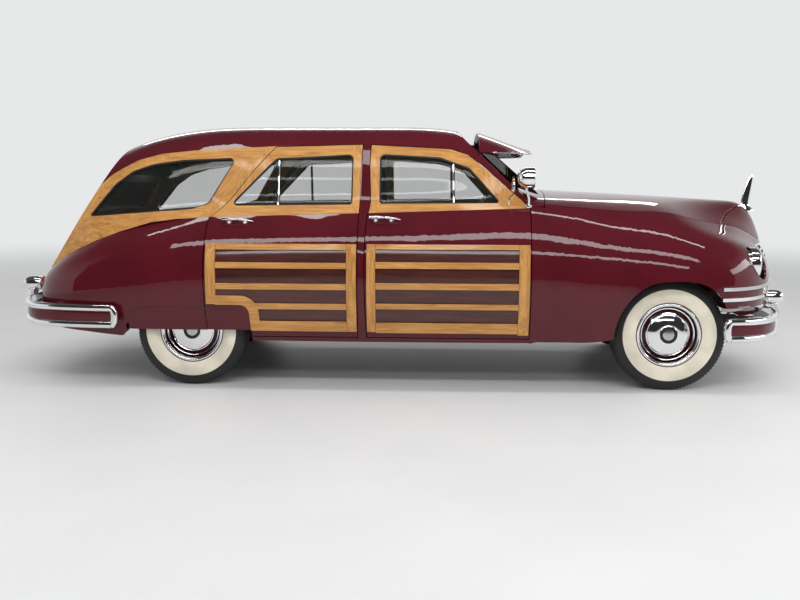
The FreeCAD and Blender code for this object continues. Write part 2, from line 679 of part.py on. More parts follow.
def make_body(static_lower, static_upper, cabin, pane):
    """Pillars, sills, cowl, roof, quarters, skirts, gates and fixed glass."""
    gap, fit = size.panel_gap, size.seat_gap
    rear_edge = size.rear_door_rear_x - gap
    # Sills and the lower pillars between the doors stop under the belt line
    belt_cut = [(rear_edge, 200), (size.front_door_front_x + gap, 200),
                (size.front_door_front_x + gap, belt_z(size.front_door_front_x)),
                (size.front_door_rear_x, belt_z(size.front_door_rear_x)),
                (rear_edge, belt_z(size.rear_door_rear_x))]
    under_belt = side_prism(belt_cut, [0] * 5, -1200, -400)
    sides = static_lower.common(under_belt)
    sides = max(sides.Solids, key=lambda solid: solid.Volume)
    # Roof and pillars
    roof_edge = roof_line()
    above_roof = [(roof_edge[0][0] - 600, 1900)] + [(roof_edge[0][0] - 600, roof_edge[0][1] - 240)]
    above_roof += roof_edge + [(size.screen_x + 100, 1400), (size.screen_x + 100, 1900)]
    roof_region = side_prism(above_roof, [0] * len(above_roof), -1300, 1300)
    gates = [tail_block(*tailgate_outline(), gap), tail_block(*liftgate_outline(), gap)]
    roof = cabin.common(roof_region)
    for end in door_outlines().values():
        region = drafted_prism(*end["upper"], gap)
        roof = roof.cut(region).cut(mirrored(region))
    for gate in gates:
        roof = roof.cut(gate)
    screen_cut = front_prism([(22, 1284), (640, 1232), (545, 1482), (22, 1530)], [16, 30, 40, 16],
                             300, 1100)
    for shape in both(screen_cut):
        roof = roof.cut(shape)
    part_feature("roof", [roof])
    pillars = static_upper.cut(roof_region)
    for shape in both(screen_cut):
        pillars = pillars.cut(shape)
    lean_line = [(rear_edge + fit, 1000), (rear_edge + fit, belt_z(size.rear_door_rear_x)),
                 (size.rear_door_front_x - 541, 1600), (2000, 1600), (2000, 1000)]
    ahead = side_prism(lean_line, [0] * 5, -1300, 0)
    under_skin = loft(LOWER, FRONT_PLACES, 0).common(
        box((size.front_door_front_x + gap, -1300, 0), (3000, 1300, 1500)))
    front_pillars = pillars.common(ahead).cut(under_skin).cut(under_belt)
    behind = pillars.cut(ahead)
    # Cowl between the windscreen and the hood, with a post for the door hinges
    inner = loft(LOWER, FRONT_PLACES[6:], size.fender_wall)
    front_form = loft(LOWER, FRONT_PLACES[6:], 0)
    cowl_top = front_form.cut(inner).common(plan_prism(
        [(size.front_door_front_x + gap, -790), (size.hood_rear_x - 40, -770), (size.hood_rear_x - gap, -400),
         (size.hood_rear_x - gap, 400), (size.hood_rear_x - 40, 770), (size.front_door_front_x + gap, 790),
         (600, 790), (600, -790)], [0] * 8, 1090, 1400))
    cowl_top = cowl_top.cut(cabin_form(-fit))
    post = static_lower.common(box((size.front_door_front_x + gap, -1200, 400),
                                   (size.front_door_front_x + 78, 0, 1100)))
    post = post.common(loft(LOWER, DOOR_PLACES, size.fender_wall + fit))
    post = post.common(loft(LOWER, FRONT_PLACES, size.fender_wall + fit))
    cowl_top = cowl_top.common(box((size.front_door_front_x - 300, -1200, 0), (2000, 1200, 1500)))
    cowl_top = cowl_top.cut(both(sides) + both(front_pillars))
    for outline in ("lower", "upper"):
        cowl_top = cowl_top.cut(both(drafted_prism(*door_outlines()["front"][outline], gap)))
    post = post.cut([cowl_top, sides, front_pillars])
    part_feature("body_frame", both(sides) + both(front_pillars) + both(post))
    part_feature("cowl", [cowl_top])
    # Quarters
    line = steel_line()
    make_quarters(line, gates)
    wood_region = below(line, 200, -fit)
    wood = behind.cut(side_prism(wood_region, [0] * len(wood_region), -1300, 0))
    window = quarter_window()
    wood = wood.cut(side_prism(*window, -1200, -400))
    for gate in gates:
        wood = wood.cut(gate)
    wood = max(wood.Solids, key=lambda solid: solid.Volume)
    part_feature("quarter_wood", both(wood))
    quarter_glass = pane.common(side_prism(grown(window[0], -fit), window[1], -1200, -400))
    screen_pane = loft(CABIN, CABIN_PLACES, fit).common(screen_side(-1, size.glass_depth))
    screen_pane = screen_pane.cut(screen_side(-1, size.glass_depth + size.glass_thickness))
    screen_pane = screen_pane.common(front_prism(
        grown([(22, 1284), (640, 1232), (545, 1482), (22, 1530)], -fit), [16, 30, 40, 16], 300, 1100))
    part_feature("fixed_glass", both(quarter_glass) + both(screen_pane))
    # Gates
    rear_skin = tail_keep(0).cut(tail_keep(size.gate_wall)).common(
        box((-3000, -900, 300), (-1500, 900, 1800)))
    part_feature("tailgate", [rear_skin.common(tail_block(*tailgate_outline()))])
    lift = rear_skin.common(tail_block(*liftgate_outline())).cut(tail_block(*liftgate_window()))
    part_feature("liftgate", [lift])
    rear_pane = tail_keep(size.glass_depth).cut(tail_keep(size.glass_depth + size.glass_thickness))
    window_points, window_radii = liftgate_window()
    part_feature("liftgate_glass", [rear_pane.common(
        tail_block(window_points, window_radii, -fit))])


def skirt_outline():
    """Removable panel over the rear wheel in the side view."""
    x = rear_axle_x
    low = size.skirt_bottom_z
    return ([(x - 390, low), (x - 372, 505), (x - 270, 528), (x + 270, 540), (x + 362, 515),
             (x + 384, low)], [0, 60, 120, 120, 60, 0])


def make_quarters(line, gates):
    """Steel quarters with the rear wheels' openings, the skirts and the tail panel."""
    fit = size.seat_gap
    quarter_form = loft(LOWER, REAR_PLACES, 0).common(box((-FAR, -FAR, 200), (FAR, 0, 1500)))
    hollow_places = spread(STERN_X + 50, size.rear_door_rear_x + 420, 12, 1.6)
    static_lower = quarter_form.cut(side_hollow(hollow_places, size.side_wall))
    rear_edge = size.rear_door_rear_x - size.panel_gap
    region = below(line, 200, fit)
    shape = static_lower.common(side_prism(region, [0] * len(region), -1200, 0))
    shape = shape.cut(box((rear_edge, -1200, 0), (0, 0, 1500)))
    shape = shape.cut(drafted_prism(*door_outlines()["rear"]["lower"], size.panel_gap))
    outline, radii = skirt_outline()
    low = size.skirt_bottom_z
    # The body's lower edge slopes up to the skirt's at both ends
    opening = [(outline[0][0] - 55, low - 44)] + outline + [(outline[-1][0] + 48, low - 44)]
    opening = [(opening[0][0], 100)] + opening + [(opening[-1][0], 100)]
    skirt = shape.common(side_prism(outline, radii, -1200, -600))
    skirt = skirt.common(box((-2600, -1200, low), (-600, 0, 700)))
    inner = loft(LOWER, REAR_PLACES, 26)
    shape = shape.cut(side_prism(grown(opening, fit), [0, 0] + radii + [0, 0], -1200, -600))
    part_feature("rear_skirts", both(skirt.cut(inner)))
    shape = shape.cut(wheel_space(-1))
    arm_y, arm_z = size.rail_half_spacing, size.rear_bumper_z
    shape = shape.cut(box((-3000, -arm_y - 25 - fit, arm_z - 40 - fit), (-2000, -arm_y + 25 + fit, arm_z + 20 + fit)))
    for gate in gates:
        shape = shape.cut(gate)
    shape = shape.cut(box((-3000, -610, 704), (-1900, 610, 1400)))
    part_feature("rear_quarters", [fused(both(shape))])


# Front end

def hood_outline(grow=0):
    """Hood in plan, counter-clockwise from its right rear corner."""
    axle = size.front_axle_x
    side = [(size.hood_rear_x - 32, 748), (size.hood_rear_x + 104, 748), (axle - 495, 722),
            (axle - 140, 655), (axle + 110, 583), (axle + 410, 432), (axle + 610, 300),
            (axle + 740, 190), (axle + 900, 120)]
    points = [(x, -y) for x, y in side] + [(x, y) for x, y in reversed(side)]
    points.append((size.hood_rear_x, 400))
    points.append((size.hood_rear_x, -400))
    return grown(points, grow) if grow else points


def make_ornament():
    """Plain swept fin on the hood's nose."""
    tip = Vector(2440, 0, 1372)
    curve = Part.BSplineCurve()
    curve.interpolate([tip, Vector(2476, 0, 1290), Vector(2500, 0, 1215), Vector(2512, 0, 1120)])
    back = Part.BSplineCurve()
    back.interpolate([Vector(2390, 0, 1120), Vector(2400, 0, 1200), Vector(2416, 0, 1300), tip])
    base = Part.LineSegment(Vector(2512, 0, 1120), Vector(2390, 0, 1120)).toShape()
    fin = Part.Face(Part.Wire([curve.toShape(), base, back.toShape()])).extrude(Y_AXIS * 16)
    fin.translate(Vector(0, -8, 0))
    part_feature("hood_ornament", [fin.cut(loft(LOWER, FRONT_PLACES, -size.seat_gap))])


def wheel_arch():
    """Front wheel openings: a flattened arch in the side view, through both fenders."""
    x, top, half = size.front_axle_x, size.arch_height, size.arch_half_length
    places = [(x - half, 330), (x - half + 16, 470), (x - half + 90, 600), (x - half + 202, top - 22), (x, top),
              (x + 140, top - 8), (x + 240, top - 53), (x + half - 32, 565), (x + half - 2, 440)]
    curve = Part.BSplineCurve()
    curve.interpolate([Vector(place_x, -1300, z) for place_x, z in places])
    foot = [Vector(places[-1][0], -1300, z) for z in (places[-1][1], 100)]
    heel = [Vector(places[0][0], -1300, z) for z in (100, places[0][1])]
    lines = [Part.LineSegment(*ends).toShape() for ends in (foot, (foot[1], heel[0]), heel)]
    wire = Part.Wire([curve.toShape()] + lines)
    return Part.Face(wire).extrude(Y_AXIS * 2600)


def make_front():
    """Hood, front fenders with aprons, grille."""
    gap, fit = size.panel_gap, size.seat_gap
    start = size.front_door_front_x + gap
    ahead = box((start, -1300, 200), (3000, 1300, 1500))
    form = loft(LOWER, FRONT_PLACES, 0)
    shell = form.common(ahead).cut(loft(LOWER, FRONT_PLACES, size.fender_wall))
    outline = hood_outline()
    hood = shell.common(plan_prism(outline, [0] * len(outline), size.hood_front_z, 1400))
    part_feature("hood", [hood])
    opening = plan_prism(hood_outline(gap), [0] * len(outline), size.hood_front_z - gap, 1400)
    cowl_zone = box((start - 10, -790, 1090 - 0.5), (size.hood_rear_x - 40 + gap, 790, 1500))
    cowl_zone = cowl_zone.fuse(box((start - 10, -750, 1090 - 0.5), (size.hood_rear_x + 20, 750, 1500)))
    fenders = shell.cut(opening).cut(cowl_zone)
    # Room for the turned front wheels inside the fenders
    ahead_x = size.front_axle_x + 400
    room = [(start, -860), (ahead_x, -860), (ahead_x + 45, -790), (ahead_x + 45, 790), (ahead_x, 860), (start, 860)]
    fenders = fenders.cut([wheel_arch(), plan_prism(room, [0] * 6, 200, 640)])
    fenders = fenders.cut(box((2250, -440, 690), (2700, 440, 905)))
    for _, side in SIDES:
        place = Vector(size.headlamp_x - fit, side * size.headlamp_y, size.headlamp_z)
        fenders = fenders.cut(Part.makeCylinder(size.headlamp_radius + fit, 500, place, X_AXIS))
    part_feature("front_fenders", [fenders])
    wings = box((size.front_axle_x + 250, -1200, 480), (3000, 1200, 700))
    skin = loft(LOWER, FRONT_PLACES, -9).common(wings).cut(loft(LOWER, FRONT_PLACES, -fit))
    bars = []
    for z in (525, 592, 659):
        bars.append(skin.common(box((size.front_axle_x + 300, -1200, z - 11), (3000, 1200, z + 11))))
    mouth = box((2250, -440 + fit, 690 + fit), (3000, 440 - fit, 905 - fit))
    screen = loft(LOWER, FRONT_PLACES, 6).common(mouth).cut(loft(LOWER, FRONT_PLACES, 20))
    slots = []
    for row in range(7):
        for column in range(4):
            z, y = 700 + 29 * row, -434 + 219 * column
            slots.append(box((2200, y, z), (3000, y + 211, z + 18)))
    bars.append(screen.cut(slots))
    # Plain plate over the middle of the nose
    bars.append(front_prism([(-92, 566), (92, 566), (72, 768), (-72, 768)], [20] * 4, NOSE_X + fit, NOSE_X + 12))
    part_feature("grille", bars)


# Trim, lamps and bumpers

def plan_band(points, depth_out, depth_in, low, high):
    """Upright band along a smooth line in plan, from one side of the line to the other."""
    outer, inner = [], []
    for index, point in enumerate(points):
        before, after = points[max(index - 1, 0)], points[min(index + 1, len(points) - 1)]
        heading = (after - before).normalize()
        across = Vector(heading.y, -heading.x, 0)
        outer.append(point + across * depth_out + Z_AXIS * low)
        inner.append(point - across * depth_in + Z_AXIS * low)
    edges = []
    for line in (outer, inner):
        curve = Part.BSplineCurve()
        curve.interpolate(line)
        edges.append(curve.toShape())
    edges.insert(1, Part.LineSegment(outer[-1], inner[-1]).toShape())
    edges.append(Part.LineSegment(inner[0], outer[0]).toShape())
    return Part.Face(Part.Wire(Part.__sortEdges__(edges))).extrude(Z_AXIS * (high - low))


def make_bumper(node, plan, z, facing, guard_y, body_form):
    """Two blades with a plain band between them, and a pair of guards, fused into one piece."""
    half = size.bumper_height / 2
    blade, step = 44, 14
    points = [Vector(x, -facing * y, 0) for x, y in plan]
    points += [Vector(x, facing * y, 0) for x, y in reversed(plan[:-1])]
    pieces = [plan_band(points, 12, 6, z - half, z - half + blade),
              plan_band(points, 12, 6, z + half - blade, z + half),
              plan_band(points, 12 - step, 6, z - half + blade, z + half - blade)]
    reach = size.bumper_reach
    guard_radius, guard_top = 50, 150
    for side in (-1, 1):
        y = side * guard_y
        barrel = Part.makeCylinder(guard_radius, 60, Vector(facing * (reach - 110), y, z + guard_top),
                                   X_AXIS * facing)
        tip = Part.makeSphere(guard_radius, Vector(facing * (reach - guard_radius), y, z + guard_top))
        tail = Part.makeSphere(guard_radius, Vector(facing * (reach - 110), y, z + guard_top))
        stem_x = sorted((facing * (reach - 130), facing * (reach - 28)))
        stem = box((stem_x[0], y - 40, z - half - 6), (stem_x[1], y + 40, z + guard_top))
        arm_x = sorted((facing * (size.frame_half_length + size.seat_gap), facing * (reach - 66)))
        arm_y = side * size.rail_half_spacing
        arm = box((arm_x[0], arm_y - 25, z - 40), (arm_x[1], arm_y + 25, z + 20))
        pieces += [barrel, tip, tail, stem, arm]
    bumper = fused(pieces).cut(body_form)
    part_feature(node, [max(bumper.Solids, key=lambda solid: solid.Volume)])


def make_trim():
    """Bumpers, visor, headlamps, tail lamps, spotlights and mirrors."""
    fit = size.seat_gap
    nose_form = loft(LOWER, FRONT_PLACES, -9 - fit)
    stern_form = loft(LOWER, REAR_PLACES, -fit)
    arm_slot = box((-3000, -size.rail_half_spacing - 25, size.rear_bumper_z - 40),
                   (-2000, size.rail_half_spacing + 25, size.rear_bumper_z + 20))
    make_bumper("front_bumper", [(2088, 950), (2200, 918), (2330, 850), (2450, 690), (2515, 480),
                                 (2545, 240), (2553, 0)], size.front_bumper_z, 1, 415,
                nose_form.common(box((2200, -1200, 500), (3000, 1200, 900))))
    make_bumper("rear_bumper", [(-1785, 985), (-1990, 965), (-2190, 925), (-2350, 850), (-2460, 700),
                                (-2520, 500), (-2550, 250), (-2557, 0)], size.rear_bumper_z, -1, 450,
                stern_form.cut(arm_slot))
    visor = loft(CABIN, CABIN_PLACES[:6], -24).common(box((538, -635, 1502), (897, 635, 1800)))
    visor = visor.cut(loft(CABIN, CABIN_PLACES[:6], -14))
    boss = []
    for _, side in SIDES:
        boss.append(Part.makeCylinder(14, 120, Vector(556, side * 520, 1495), Z_AXIS))
    hull = loft(CABIN, CABIN_PLACES[:6], -18)
    boss = [shape.common(hull).cut(cabin_form(-fit)) for shape in boss]
    part_feature("visor", [fused([visor] + boss)])
    lamps, tails, spots = [], [], []
    cabin_skin = cabin_form(-fit)
    cowl_skin = loft(LOWER, FRONT_PLACES, -fit)
    door_skin = loft(LOWER, DOOR_PLACES, -fit)
    clear_of_cowl = loft(LOWER, FRONT_PLACES, -6)
    for _, side in SIDES:
        centre = Vector(size.headlamp_x, side * size.headlamp_y, size.headlamp_z)
        shell = Part.makeCylinder(size.headlamp_radius, 78, centre, X_AXIS)
        dome = Part.makeSphere(240, centre + Vector(78 - 206, 0, 0)).common(
            Part.makeCylinder(96, 140, centre, X_AXIS))
        lamps.append(fused([shell, dome]))
        tails.append(Part.makeSphere(34, Vector(-2392, side * 560, 640)).cut(stern_form))
        lamp = Part.makeCylinder(66, 46, Vector(832, side * 808, 1339), X_AXIS)
        back = Part.makeSphere(66, Vector(832, side * 808, 1339)).common(
            box((780, side * 808 - 70, 1260), (833, side * 808 + 70, 1420)))
        stalk = Part.makeCylinder(8, 175, Vector(869, side * 776, 1130), Vector(-0.06, side * 0.14, 1))
        stalk = stalk.cut([cabin_skin, cowl_skin])
        spots.append(fused([lamp, back, stalk]))
    part_feature("headlamps", lamps)
    part_feature("tail_lamps", tails)
    part_feature("spotlights", spots)
    for name, side in SIDES:
        stalk = Part.makeCylinder(7, 140, Vector(722, side * 748, 1196), Vector(0.14, side * 0.95, 0.95))
        stalk = stalk.cut([cabin_skin, door_skin, clear_of_cowl])
        head = Part.makeCylinder(56, 16, Vector(738, side * 850, 1290), X_AXIS)
        part_feature(f"mirror_{name}", [fused([stalk, head])])


# Cabin

def formula_box(name, length, width, height, x, y, z):
    """Block whose sizes and corner are formulas of the sheet."""
    block = doc.addObject("Part::Box", name)
    return bind(block, {"Length": length, "Width": width, "Height": height,
                        ".Placement.Base.x": x, ".Placement.Base.y": y, ".Placement.Base.z": z})


def make_cabin():
    """Seats, dashboard with its column, and the steering wheel."""
    for end in ("front", "rear"):
        cushion = formula_box(end + "_cushion", "Sizes.cushion_length", f"2 * Sizes.{end}_seat_half_width",
                              "Sizes.cushion_thickness", f"Sizes.{end}_cushion_x",
                              f"-Sizes.{end}_seat_half_width", "Sizes.cushion_top_z - Sizes.cushion_thickness")
        back = formula_box(end + "_backrest", "Sizes.backrest_thickness", f"2 * Sizes.{end}_seat_half_width",
                           "Sizes.backrest_top_z - Sizes.cushion_top_z + Sizes.cushion_thickness",
                           f"Sizes.{end}_cushion_x - Sizes.backrest_thickness",
                           f"-Sizes.{end}_seat_half_width", "Sizes.cushion_top_z - Sizes.cushion_thickness")
        floor_top = "(Sizes.rail_bottom_z + Sizes.rail_height + Sizes.floor_thickness + 2 * Sizes.seat_gap)"
        base = formula_box(end + "_base", "Sizes.cushion_length - 60", f"2 * Sizes.{end}_seat_half_width - 80",
                           f"Sizes.cushion_top_z - Sizes.cushion_thickness - {floor_top}",
                           f"Sizes.{end}_cushion_x", f"-Sizes.{end}_seat_half_width + 40", floor_top)
        seat = doc.addObject("Part::MultiFuse", end + "_bench")
        seat.Shapes = [cushion, back, base]
        keep(end + "_seat", seat)
    wheel_centre = Vector(508, size.steering_wheel_y, 1015)
    tilt = math.radians(32)
    axis = Vector(-math.cos(tilt), 0, math.sin(tilt))
    panel = front_prism([(-705, 885), (705, 885), (690, 1108), (-690, 1108)], [30, 30, 60, 60], 742, 862)
    # The column runs from the hub to the firewall
    reach = (size.firewall_x - wheel_centre.x) / math.cos(tilt) + 30
    column = Part.makeCylinder(24, reach - 24 - size.seat_gap, wheel_centre - axis * reach, axis)
    column = column.cut(box((size.firewall_x - size.seat_gap, -1000, 0), (size.firewall_x + 300, 1000, 1200)))
    part_feature("dashboard", [fused([panel, column])])
    rim = doc.addObject("Part::Torus", "steering_rim")
    bind(rim, {"Radius1": "Sizes.steering_wheel_radius"})
    rim.Radius2 = 10
    hub = doc.addObject("Part::Cylinder", "steering_hub")
    hub.Radius = 34
    hub.Height = 44
    hub.Placement = Placement(Vector(0, 0, -24), Rotation())
    spokes = []
    for index in range(2):
        spoke = doc.addObject("Part::Box", f"steering_spoke_{index}")
        bind(spoke, {"Length": "Sizes.steering_wheel_radius"})
        spoke.Width = 16
        spoke.Height = 6
        spoke.Placement = Placement(Vector(0, -8, -3), Rotation()) if index == 0 else Placement(
            Vector(0, 8, -3), Rotation(Z_AXIS, 180))
        spokes.append(spoke)
    steering = doc.addObject("Part::MultiFuse", "steering")
    steering.Shapes = [rim, hub] + spokes
    turn = Rotation(Z_AXIS, axis) * Rotation(Z_AXIS, 90)
    steering.Placement = Placement(wheel_centre, turn)
    keep("steering_wheel", steering)


# Frame and running gear

def make_frame():
    """Frame rails with cross-members and hangers, floor pan, engine."""
    y, width = size.rail_half_spacing, size.rail_width
    low, high = size.rail_bottom_z, size.rail_bottom_z + size.rail_height
    axle = rear_axle_x
    end = size.frame_half_length
    side = [(end, 350), (end, 430), (1330, 430), (1180, high), (axle + 430, high), (axle + 208, 560),
            (axle + 170, 580), (axle - 270, 580), (axle - 460, 500), (-end, 500), (-end, 420),
            (axle - 440, 420), (axle - 250, 505), (axle + 190, 505), (axle + 400, low), (1170, low),
            (1310, 330), (1950, 330)]
    rails = [side_prism(side, [0] * len(side), sign * y - width / 2, sign * y + width / 2)
             for _, sign in SIDES]
    members = []
    for x, half, z_low, z_high in ((2180, 40, 360, 420), (1000, 40, low + 20, high - 20),
                                   (0, 40, low + 20, high - 20), (-800, 40, low + 20, high - 20),
                                   (-2100, 60, 430, 490)):
        members.append(box((x - half, -y, z_low), (x + half, y, z_high)))
    inside = loft(LOWER, DOOR_PLACES, size.door_wall + 1)
    for x in (780, -100, -600):
        outrigger = box((x - 30, -size.rail_half_spacing - 500, high - 40),
                        (x + 30, size.rail_half_spacing + 500, high))
        members.append(outrigger.common(inside))
    for _, sign in SIDES:
        # Engine brackets
        across = sorted((sign * (size.engine_width / 2 + size.seat_gap), sign * y))
        for x in (1430, 1980):
            members.append(box((x - 30, across[0], 385), (x + 30, across[1], 425)))
        for x, z_low, z_high in ((axle + 540, 336, high), (axle - 540, 416, 460)):
            across = sorted((sign * y, sign * 560))
            members.append(box((x - 20, across[0], z_low + size.seat_gap), (x + 20, across[1], z_high)))
    frame = fused(rails + members)
    for dx in (-size.hitch_spacing_x / 2, size.hitch_spacing_x / 2):
        for dy in (-size.hitch_spacing_y / 2, size.hitch_spacing_y / 2):
            frame = frame.cut(Part.makeCylinder(size.hitch_hole_radius, 100, Vector(-2100 + dx, dy, 410)))
    part_feature("chassis_frame", [frame])
    floor = high + size.seat_gap
    thick = size.floor_thickness
    load = size.load_floor_z
    half, step_z, step_x, rear_x = 770, 484, -840, -985
    pan = [box((step_x, -half, floor), (1050, half, floor + thick)),
           box((size.firewall_x, -700, floor), (1050, 700, 1075)),
           box((step_x - thick, -half, floor), (step_x, half, step_z + thick)),
           box((rear_x - thick, -half, step_z), (step_x, half, step_z + thick)),
           box((rear_x - thick, -half, step_z), (rear_x, half, load + thick)),
           box((-2330, -600, load), (rear_x, 600, load + thick))]
    pan = fused(pan)
    inner_y = size.track_rear / 2 - size.tyre_width / 2 - 60
    outer_y = size.wheelhouse_y - 58
    houses = []
    for _, sign in SIDES:
        hub = Vector(axle, sign * inner_y, size.tyre_radius)
        radius = size.tyre_radius + size.wheelhouse_gap
        outside = Part.makeCylinder(radius, outer_y - inner_y, hub, Y_AXIS * sign)
        pan = pan.cut(outside)
        inside = Part.makeCylinder(radius - 12, outer_y, hub + Y_AXIS * 12 * sign, Y_AXIS * sign)
        house = outside.cut(inside).common(box((-3000, -1000, size.skirt_bottom_z), (0, 1000, 900)))
        houses.append(house.cut(box((axle - 90, -1000, 0), (axle + 90, 1000, 480)).common(
            box((-3000, -inner_y - 20, 0), (0, inner_y + 20, 900)))))
    part_feature("floor_pan", [pan])
    part_feature("wheel_houses", houses)
    engine = formula_box("engine_block", "Sizes.engine_length", "Sizes.engine_width", "Sizes.engine_height",
                         "Sizes.engine_front_x - Sizes.engine_length", "-Sizes.engine_width / 2",
                         "Sizes.engine_bottom_z")
    keep("engine", engine)


def make_axles():
    """Rear axle on its leaf springs, front cross-member with its arms, and the knuckles."""
    hub_z = size.tyre_radius
    rear_hub = size.track_rear / 2
    tube = Part.makeCylinder(40, 2 * rear_hub - 220, Vector(rear_axle_x, -rear_hub + 110, hub_z), Y_AXIS)
    ball = Part.makeSphere(140, Vector(rear_axle_x, 0, hub_z))
    pieces = [tube, ball]
    bore = size.hub_bore - size.bearing_gap
    for _, side in SIDES:
        spindle = Part.makeCylinder(bore, 190, Vector(rear_axle_x, side * (rear_hub - 150), hub_z),
                                    Y_AXIS * side)
        drum = Part.makeCylinder(size.brake_radius, 46, Vector(rear_axle_x, side * (rear_hub - 80), hub_z),
                                 Y_AXIS * side)
        spring_y = side * 530
        arcs = []
        for lift in (0, 36):
            points = [Vector(rear_axle_x + 560, spring_y, 300 + lift), Vector(rear_axle_x, spring_y, 262 + lift),
                      Vector(rear_axle_x - 560, spring_y, 380 + lift)]
            arcs.append(Part.Arc(*points).toShape())
        edges = [arcs[0], Part.LineSegment(arcs[0].Vertexes[-1].Point, arcs[1].Vertexes[-1].Point).toShape(),
                 arcs[1], Part.LineSegment(arcs[1].Vertexes[0].Point, arcs[0].Vertexes[0].Point).toShape()]
        spring = Part.Face(Part.Wire(Part.__sortEdges__(edges))).extrude(Y_AXIS * 60)
        spring.translate(Vector(0, -30, 0))
        pad = box((rear_axle_x - 70, spring_y - 36, 280), (rear_axle_x + 70, spring_y + 36, hub_z))
        pieces += [spindle, drum, spring, pad]
    part_feature("rear_axle", [fused(pieces)])
    x = size.front_axle_x
    kingpin_y = size.track_front / 2 - size.kingpin_offset
    fit = size.seat_gap
    arms = [box((x - 90, -size.rail_half_spacing - 35, 262), (x + 90, size.rail_half_spacing + 35, 330 - fit))]
    for name, side in SIDES:
        for z_low, z_high in ((238, 262), (452, 476)):
            eye = Part.makeCylinder(30, z_high - z_low, Vector(x, side * kingpin_y, z_low), Z_AXIS)
            arm = plan_prism([(x - 130, side * (size.rail_half_spacing - 30)), (x - 22, side * kingpin_y),
                              (x + 22, side * kingpin_y), (x + 130, side * (size.rail_half_spacing - 30))],
                             [0] * 4, z_low, z_high)
            arms.append(fused([arm, eye]).cut(
                Part.makeCylinder(16 + fit, 60, Vector(x, side * kingpin_y, z_low - 10), Z_AXIS)))
        rail_y = side * size.rail_half_spacing
        upright = box((x - 90, rail_y - 30, 430 + fit), (x + 90, rail_y + 30, 476))
        arms.append(upright)
        pin = Part.makeCylinder(16, 250, Vector(x, side * kingpin_y, 232), Z_AXIS)
        barrel = Part.makeCylinder(30, 180, Vector(x, side * kingpin_y, 267), Z_AXIS)
        hub_y = size.track_front / 2
        web = Part.makeCylinder(34, 60, Vector(x, side * kingpin_y, hub_z), Y_AXIS * side)
        drum = Part.makeCylinder(size.brake_radius, 46, Vector(x, side * (hub_y - 80), hub_z), Y_AXIS * side)
        spindle = Part.makeCylinder(bore, 190, Vector(x, side * (hub_y - 150), hub_z), Y_AXIS * side)
        part_feature(f"knuckle_{name}", [fused([pin, barrel, web, drum, spindle])])
    part_feature("front_suspension", [fused(arms)])


def revolved_body(name, corners):
    """PartDesign body turned about its Y axis from a closed outline.

    Each corner gives the radius and the place along the axis as formulas of the sheet.
    """
    body = doc.addObject("PartDesign::Body", name)
    sketch = body.newObject("Sketcher::SketchObject", name + "_section")
    plane = next(item for item in body.Origin.OriginFeatures if item.Role == "XY_Plane")
    sketch.AttachmentSupport = [(plane, "")]
    sketch.MapMode = "FlatFace"
    count = len(corners)
    for index in range(count):
        (r0, y0), (r1, y1) = corners[index], corners[(index + 1) % count]
        start = Vector(formula_value(r0), formula_value(y0), 0)
        end = Vector(formula_value(r1), formula_value(y1), 0)
        sketch.addGeometry(Part.LineSegment(start, end), False)
    for index in range(count):
        sketch.addConstraint(Sketcher.Constraint("Coincident", index, 2, (index + 1) % count, 1))
    for index, (radius, along) in enumerate(corners):
        for kind, formula in (("DistanceX", radius), ("DistanceY", along)):
            number = sketch.addConstraint(Sketcher.Constraint(kind, -1, 1, index, 1, formula_value(formula)))
            sketch.setExpression(f"Constraints[{number}]", formula)
    turn = body.newObject("PartDesign::Revolution", name + "_turn")
    turn.Profile = sketch
    turn.ReferenceAxis = (sketch, ["V_Axis"])
    turn.Angle = 360
    body.Tip = turn
    return body


def formula_value(formula):
    """Number that a formula of the sheet stands for."""
    for name, _, _ in SIZES:
        formula = formula.replace("Sizes." + name, str(getattr(size, name)))
    total = 0.0
    for term in formula.replace(" ", "").replace("-", "+-").split("+"):
        if term:
            product = 1.0
            for factor in term.split("*"):
                sign = -1 if factor.startswith("-") else 1
                factor = factor.lstrip("-")
                parts = factor.split("/")
                value = float(parts[0])
                for divisor in parts[1:]:
                    value /= float(divisor)
                product *= sign * value
            total += product
    return total


